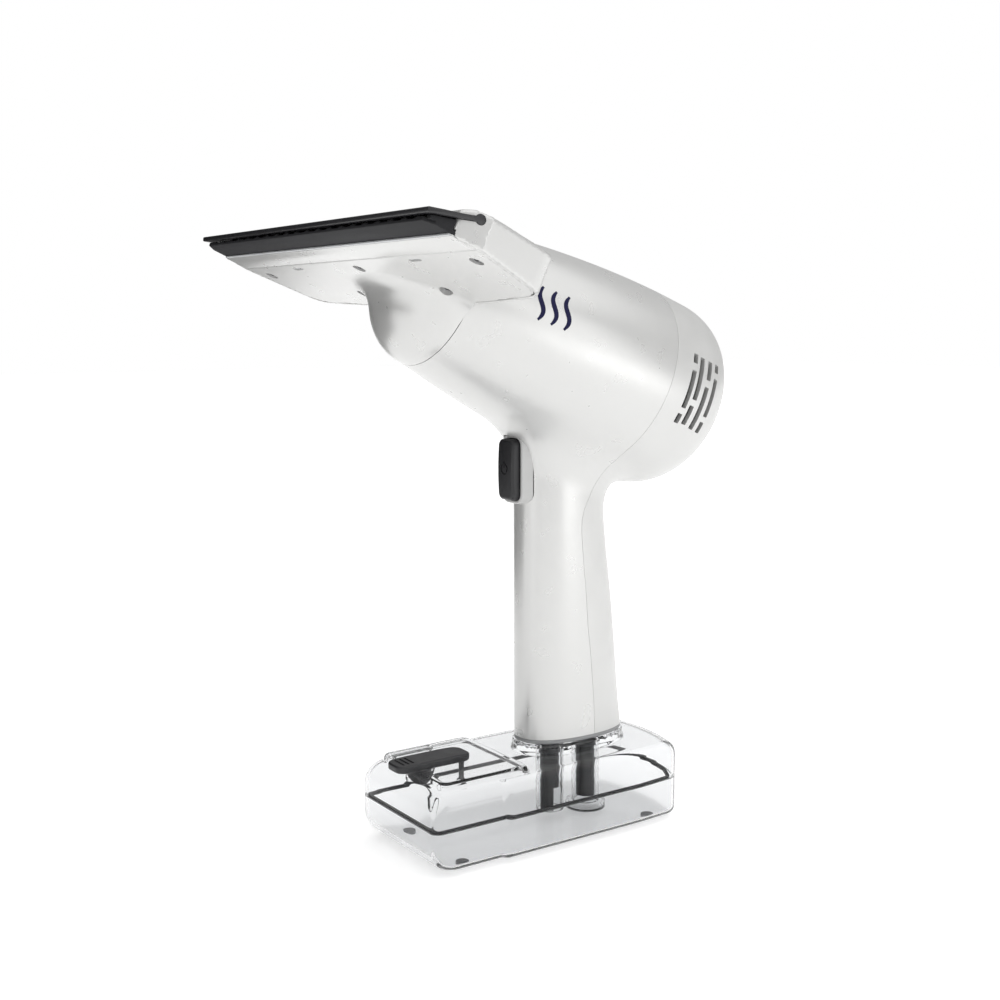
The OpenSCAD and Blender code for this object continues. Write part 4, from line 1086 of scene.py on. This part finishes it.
# %% Rubbers and dark plastics
black_rubber = finish("black_rubber", (0.018, 0.018, 0.02), 0.42, drift=0.25, peel=0.08, peel_size=1.6,
                      grain=0.18, grain_size=0.2, rub=0.35, rub_colour=(0.07, 0.07, 0.075))
blade_rubber = finish("blade_rubber", (0.02, 0.02, 0.022), 0.36, drift=0.2, peel=0.06, streak=(0.15, 1, 1),
                      grain=0.12, grain_size=0.3)
button_rubber = finish("button_rubber", (0.018, 0.018, 0.02), 0.40, drift=0.1, peel=0.06, grain=0.2,
                       grain_size=0.18, rub=0.3, rub_colour=(0.12, 0.12, 0.125))
lip_rubber = finish("lip_rubber", (0.022, 0.022, 0.024), 0.6, drift=0.15, peel=0.06, streak=(0.15, 1, 1),
                    grain=0.12, grain_size=0.3, specular=0.15)
tube_plastic = finish("tube_plastic", (0.015, 0.015, 0.017), 0.26, drift=0.08, streak=(1, 1, 0.12), peel=0.05)
seal_rubber = finish("seal_rubber", (0.03, 0.03, 0.033), 0.5, drift=0.12, grain=0.15)
foot_rubber = finish("foot_rubber", (0.22, 0.22, 0.225), 0.6, drift=0.08, grain=0.25)
mesh_black = finish("mesh_black", (0.03, 0.03, 0.032), 0.7, grain=0.3, grain_size=0.4, specular=0.2)
dark_plastic = finish("dark_plastic", (0.07, 0.07, 0.075), 0.38, drift=0.1, peel=0.05, grain=0.1)
navy_ink = finish("navy_ink", (0.006, 0.006, 0.045), 0.5, drift=0.08, peel=0.03, grain=0.06, specular=0.2)

# %% [markdown]
# Metals and the working parts inside. They show only when the head or the tank is off, but they get
# the finish of the real thing: drawn steel, cast alloy, brass, silicone hose and a green board.

# %% Metals and inner parts
screw_steel = finish("screw_steel", (0.30, 0.30, 0.31), 0.34, metallic=1.0, grain=0.08)
steel = finish("steel", (0.62, 0.62, 0.64), 0.28, metallic=1.0, streak=(1, 0.2, 1), grain=0.08)
cast_alloy = finish("cast_alloy", (0.52, 0.52, 0.54), 0.48, metallic=1.0, drift=0.08, peel=0.2, grain=0.3,
                    grain_size=0.35)
brass = finish("brass", (0.72, 0.52, 0.24), 0.30, metallic=1.0, drift=0.06, grain=0.06)
silicone = finish("silicone", (0.70, 0.68, 0.64), 0.42, drift=0.04, peel=0.06)
board_green = finish("board_green", (0.03, 0.17, 0.07), 0.35, drift=0.1, grain=0.05)
wire_cover = finish("wire_cover", (0.10, 0.012, 0.012), 0.4, drift=0.1, grain=0.05)


# %% [markdown]
# Clear plastic is a solid that bends light. The real one has an index of about 1.49, which draws broad
# dark bands along every step of such a thin box. A lower index keeps those lines fine. A soft sheen
# whitens the walls where they are seen edge-on, and faint scuffs roughen them here and there.

# %% Clear plastic
CLEAR_INDEX = 1.15


def clear_finish(name, tint, rough):
    material = finish(name, tint, rough, drift=0.0, rough_drift=rough * 0.6, peel=0.015, peel_size=4.0)
    shader = material.node_tree.nodes["Principled BSDF"]
    shader.inputs["Transmission Weight"].default_value = 1.0
    shader.inputs["IOR"].default_value = CLEAR_INDEX
    shader.inputs["Sheen Weight"].default_value = 1.0
    shader.inputs["Sheen Roughness"].default_value = 0.25
    return material


clear_tank = clear_finish("clear_tank", (0.90, 0.905, 0.91), 0.02)

# %% [markdown]
# ## Putting it together
# Each row gives a piece's new name, the body that carries it, the part of the working model it stands for, a
# material slot name and its finish. The piece rides on that body and takes that finish, and the part it
# stands for is hidden; the slot name is not used.

# %% Pieces, bodies and finishes
PIECES = (
    (front_shell, "barrel_front_shell", "body", "front_housing", "gloss_white", gloss_white),
    (rear_shell, "barrel_rear_shell", "body", "rear_housing", "matt_white", matt_white),
    (head_cover, "head_cover", "head", "head_upper_cover", "gloss_white", gloss_white),
    (lower_plate, "head_plate", "head", "head_lower_plate", "gloss_white", gloss_white),
    (blade, "head_blade", "head", "wiping_blade", "black_rubber", blade_rubber),
    (lip, "head_ribbed_lip", "head", "ribbed_lip", "black_rubber", lip_rubber),
    (clamp, "head_lip_strip", "head", "lip_clamp", "grey_plastic", gloss_white),
    # The grey strip on the clamp's front edge is painted shade.
    (painted_shade_strip, "head_painted_shade_strip", "head", None, "grey_plastic", clip_grey),
    (plate_screws, "head_plate_screws", "head", "head_screws", "steel", screw_steel),
    (grip_screws, "grip_foot_screws", "body", "housing_screws", "steel", screw_steel),
    (button, "button_pad", "button", "power_button", "black_rubber", button_rubber),
    (bezel, "button_surround", "body", "button_bezel", "gloss_white", bezel_white),
    (end_plate, "grip_foot_plate", "body", "grip_end_plate", "grey_plastic", soft_grey),
    (tank_base, "tank_base_shell", "tank", "tank_lower", "clear_tank", clear_tank),
    (tank_lid, "tank_top_shell", "tank", "tank_upper", "clear_tank", clear_tank),
    (plug, "tank_plug", "plug", "filler_plug", "black_rubber", black_rubber),
    (steam_mark, "barrel_steam_mark", "body", None, "dark_plastic", navy_ink),
)
for obj, name, body, node, slot_name, material in PIECES:
    obj.name = obj.data.name = name
    obj.data.materials.clear()
    obj.data.materials.append(material)
    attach(obj, body)
    if node:
        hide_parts(node)

# %% Finishes for the parts that stay as they are
KEPT = {
    "tank_seal": seal_rubber, "tank_feet": foot_rubber, "tube_sleeves": clear_tank, "return_cup": clear_tank,
    "vent_screens": mesh_black, "button_spring": steel, "microswitch": dark_plastic,
    "switch_bracket": dark_plastic, "pickup_tube": tube_plastic, "return_tube": tube_plastic,
    "tube_collars": black_rubber, "suction_hose": silicone, "feed_hose": silicone, "return_hose": silicone,
    "pump": dark_plastic, "pump_mounts": black_rubber, "heater_block": cast_alloy,
    "heater_gasket": seal_rubber, "heater_cover": cast_alloy, "heater_screws": steel,
    "heater_terminals": brass, "heat_shield": silicone,
    "heater_cradles": dark_plastic, "thermostat": dark_plastic, "thermal_fuse": steel, "steam_tube": silicone,
    "neck_socket": dark_plastic, "control_board": board_green, "board_parts": dark_plastic,
    "board_screws": steel, "power_inlet": dark_plastic, "inlet_pins": brass, "wiring": wire_cover,
    "head_spigot": dark_plastic,
    "spigot_seal": seal_rubber, "steam_distributor": dark_plastic, "head_clips": clip_grey,
}
for name, material in KEPT.items():
    slots = nodes[name].material_slots
    for one in slots:
        one.material = material
    if not slots:
        nodes[name].data.materials.append(material)
print("parts kept from the working model:", len(KEPT))

# %% [markdown]
# ## Floor and light
# A white sweep and a soft white room. The room is darker low down and to one side, because a glossy
# white thing in an evenly white room has no shape at all: it is the darker parts of the room, mirrored
# in the plastic, that draw its edges.

# %% Floor
FLOOR_HALF = 6000
floor_corners = [(x * FLOOR_HALF, y * FLOOR_HALF, 0) for x, y in ((-1, -1), (1, -1), (1, 1), (-1, 1))]
floor = new_object("floor", floor_corners, [[0, 1, 2, 3]])
floor_paint = finish("floor_paint", (0.93, 0.93, 0.93), 0.7, drift=0.002, peel=0, specular=0.0)
floor_paint.node_tree.nodes["Principled BSDF"].inputs["Emission Color"].default_value = (1, 1, 1, 1)
floor_paint.node_tree.nodes["Principled BSDF"].inputs["Emission Strength"].default_value = 0.44
floor.data.materials.append(floor_paint)

# %% Room
world = bpy.data.worlds.new("room")
bpy.context.scene.world = world
world.use_nodes = True
tree = world.node_tree
tree.nodes.clear()
out = tree.nodes.new("ShaderNodeOutputWorld")
room = tree.nodes.new("ShaderNodeBackground")
seen = tree.nodes.new("ShaderNodeBackground")
seen.inputs["Color"].default_value = (1, 1, 1, 1)
pick = tree.nodes.new("ShaderNodeMixShader")
ray = tree.nodes.new("ShaderNodeLightPath")
tree.links.new(ray.outputs["Is Camera Ray"], pick.inputs["Fac"])
tree.links.new(room.outputs["Background"], pick.inputs[1])
tree.links.new(seen.outputs["Background"], pick.inputs[2])
tree.links.new(pick.outputs["Shader"], out.inputs["Surface"])
direction = tree.nodes.new("ShaderNodeTexCoord")
facing = tree.nodes.new("ShaderNodeVectorMath")
facing.operation = "DOT_PRODUCT"
DARK_SIDE = Vector((-math.cos(VIEW_TURN), -math.sin(VIEW_TURN), -0.1)).normalized()
facing.inputs[1].default_value = DARK_SIDE
tree.links.new(direction.outputs["Generated"], facing.inputs[0])
ramp = tree.nodes.new("ShaderNodeValToRGB")
ramp.color_ramp.elements[0].position, ramp.color_ramp.elements[0].color = 0.0, (1, 1, 1, 1)
ramp.color_ramp.elements[1].position, ramp.color_ramp.elements[1].color = 0.85, (0.10, 0.10, 0.10, 1)
tree.links.new(facing.outputs["Value"], ramp.inputs["Fac"])
tree.links.new(ramp.outputs["Color"], room.inputs["Color"])
room.inputs["Strength"].default_value = 0.50


# %% Lamps
def softbox(name, place, aim, size, power):
    lamp = bpy.data.lights.new(name, "AREA")
    lamp.shape, lamp.size, lamp.size_y, lamp.energy = "RECTANGLE", size[0], size[1], power
    obj = bpy.data.objects.new(name, lamp)
    bpy.context.scene.collection.objects.link(obj)
    obj.location = place
    obj.rotation_euler = (Vector(aim) - Vector(place)).to_track_quat("-Z", "Y").to_euler()


overhead = bpy.data.objects.new("overhead", bpy.data.lights.new("overhead", "SUN"))
overhead.data.energy, overhead.data.angle = 1.5, math.radians(100)
overhead.rotation_euler = (math.radians(0), math.radians(15), 0)
bpy.context.scene.collection.objects.link(overhead)
softbox("right_light", (0.75, 0.35, 0.15), (0, 0, 0.2), (0.35, 0.9), 1.0)
softbox("front_light", (0.2, -1.0, 0.3), (0, 0, 0.2), (0.5, 0.6), 0.4)
bpy.context.scene.view_settings.view_transform = "Standard"

# %% [markdown]
# ## A black card
# A white thing before a white wall loses its edge. A black card, stood behind the object's left side,
# darkens that rim of the shells, as it would in a studio. It shows only as a reflection in the gloss,
# and never directly.

# %% Black card
aside = Vector((-0.44, -0.22, 0.16))
across = Vector((0.16, -0.52, 0)).normalized() * 0.30
upright = Vector((0, 0, 0.36))
card_corners = [(aside + across * i + upright * j) / MM for i, j in ((-1, -0.4), (1, -0.4), (1, 1), (-1, 1))]
card = new_object("black_card", card_corners, [[0, 1, 2, 3]])
card.data.materials.append(finish("card_black", (0.01, 0.01, 0.01), 0.9, specular=0.0))
card.visible_camera = card.visible_transmission = False
card.visible_shadow = card.visible_diffuse = False
print("lights and room are ready")
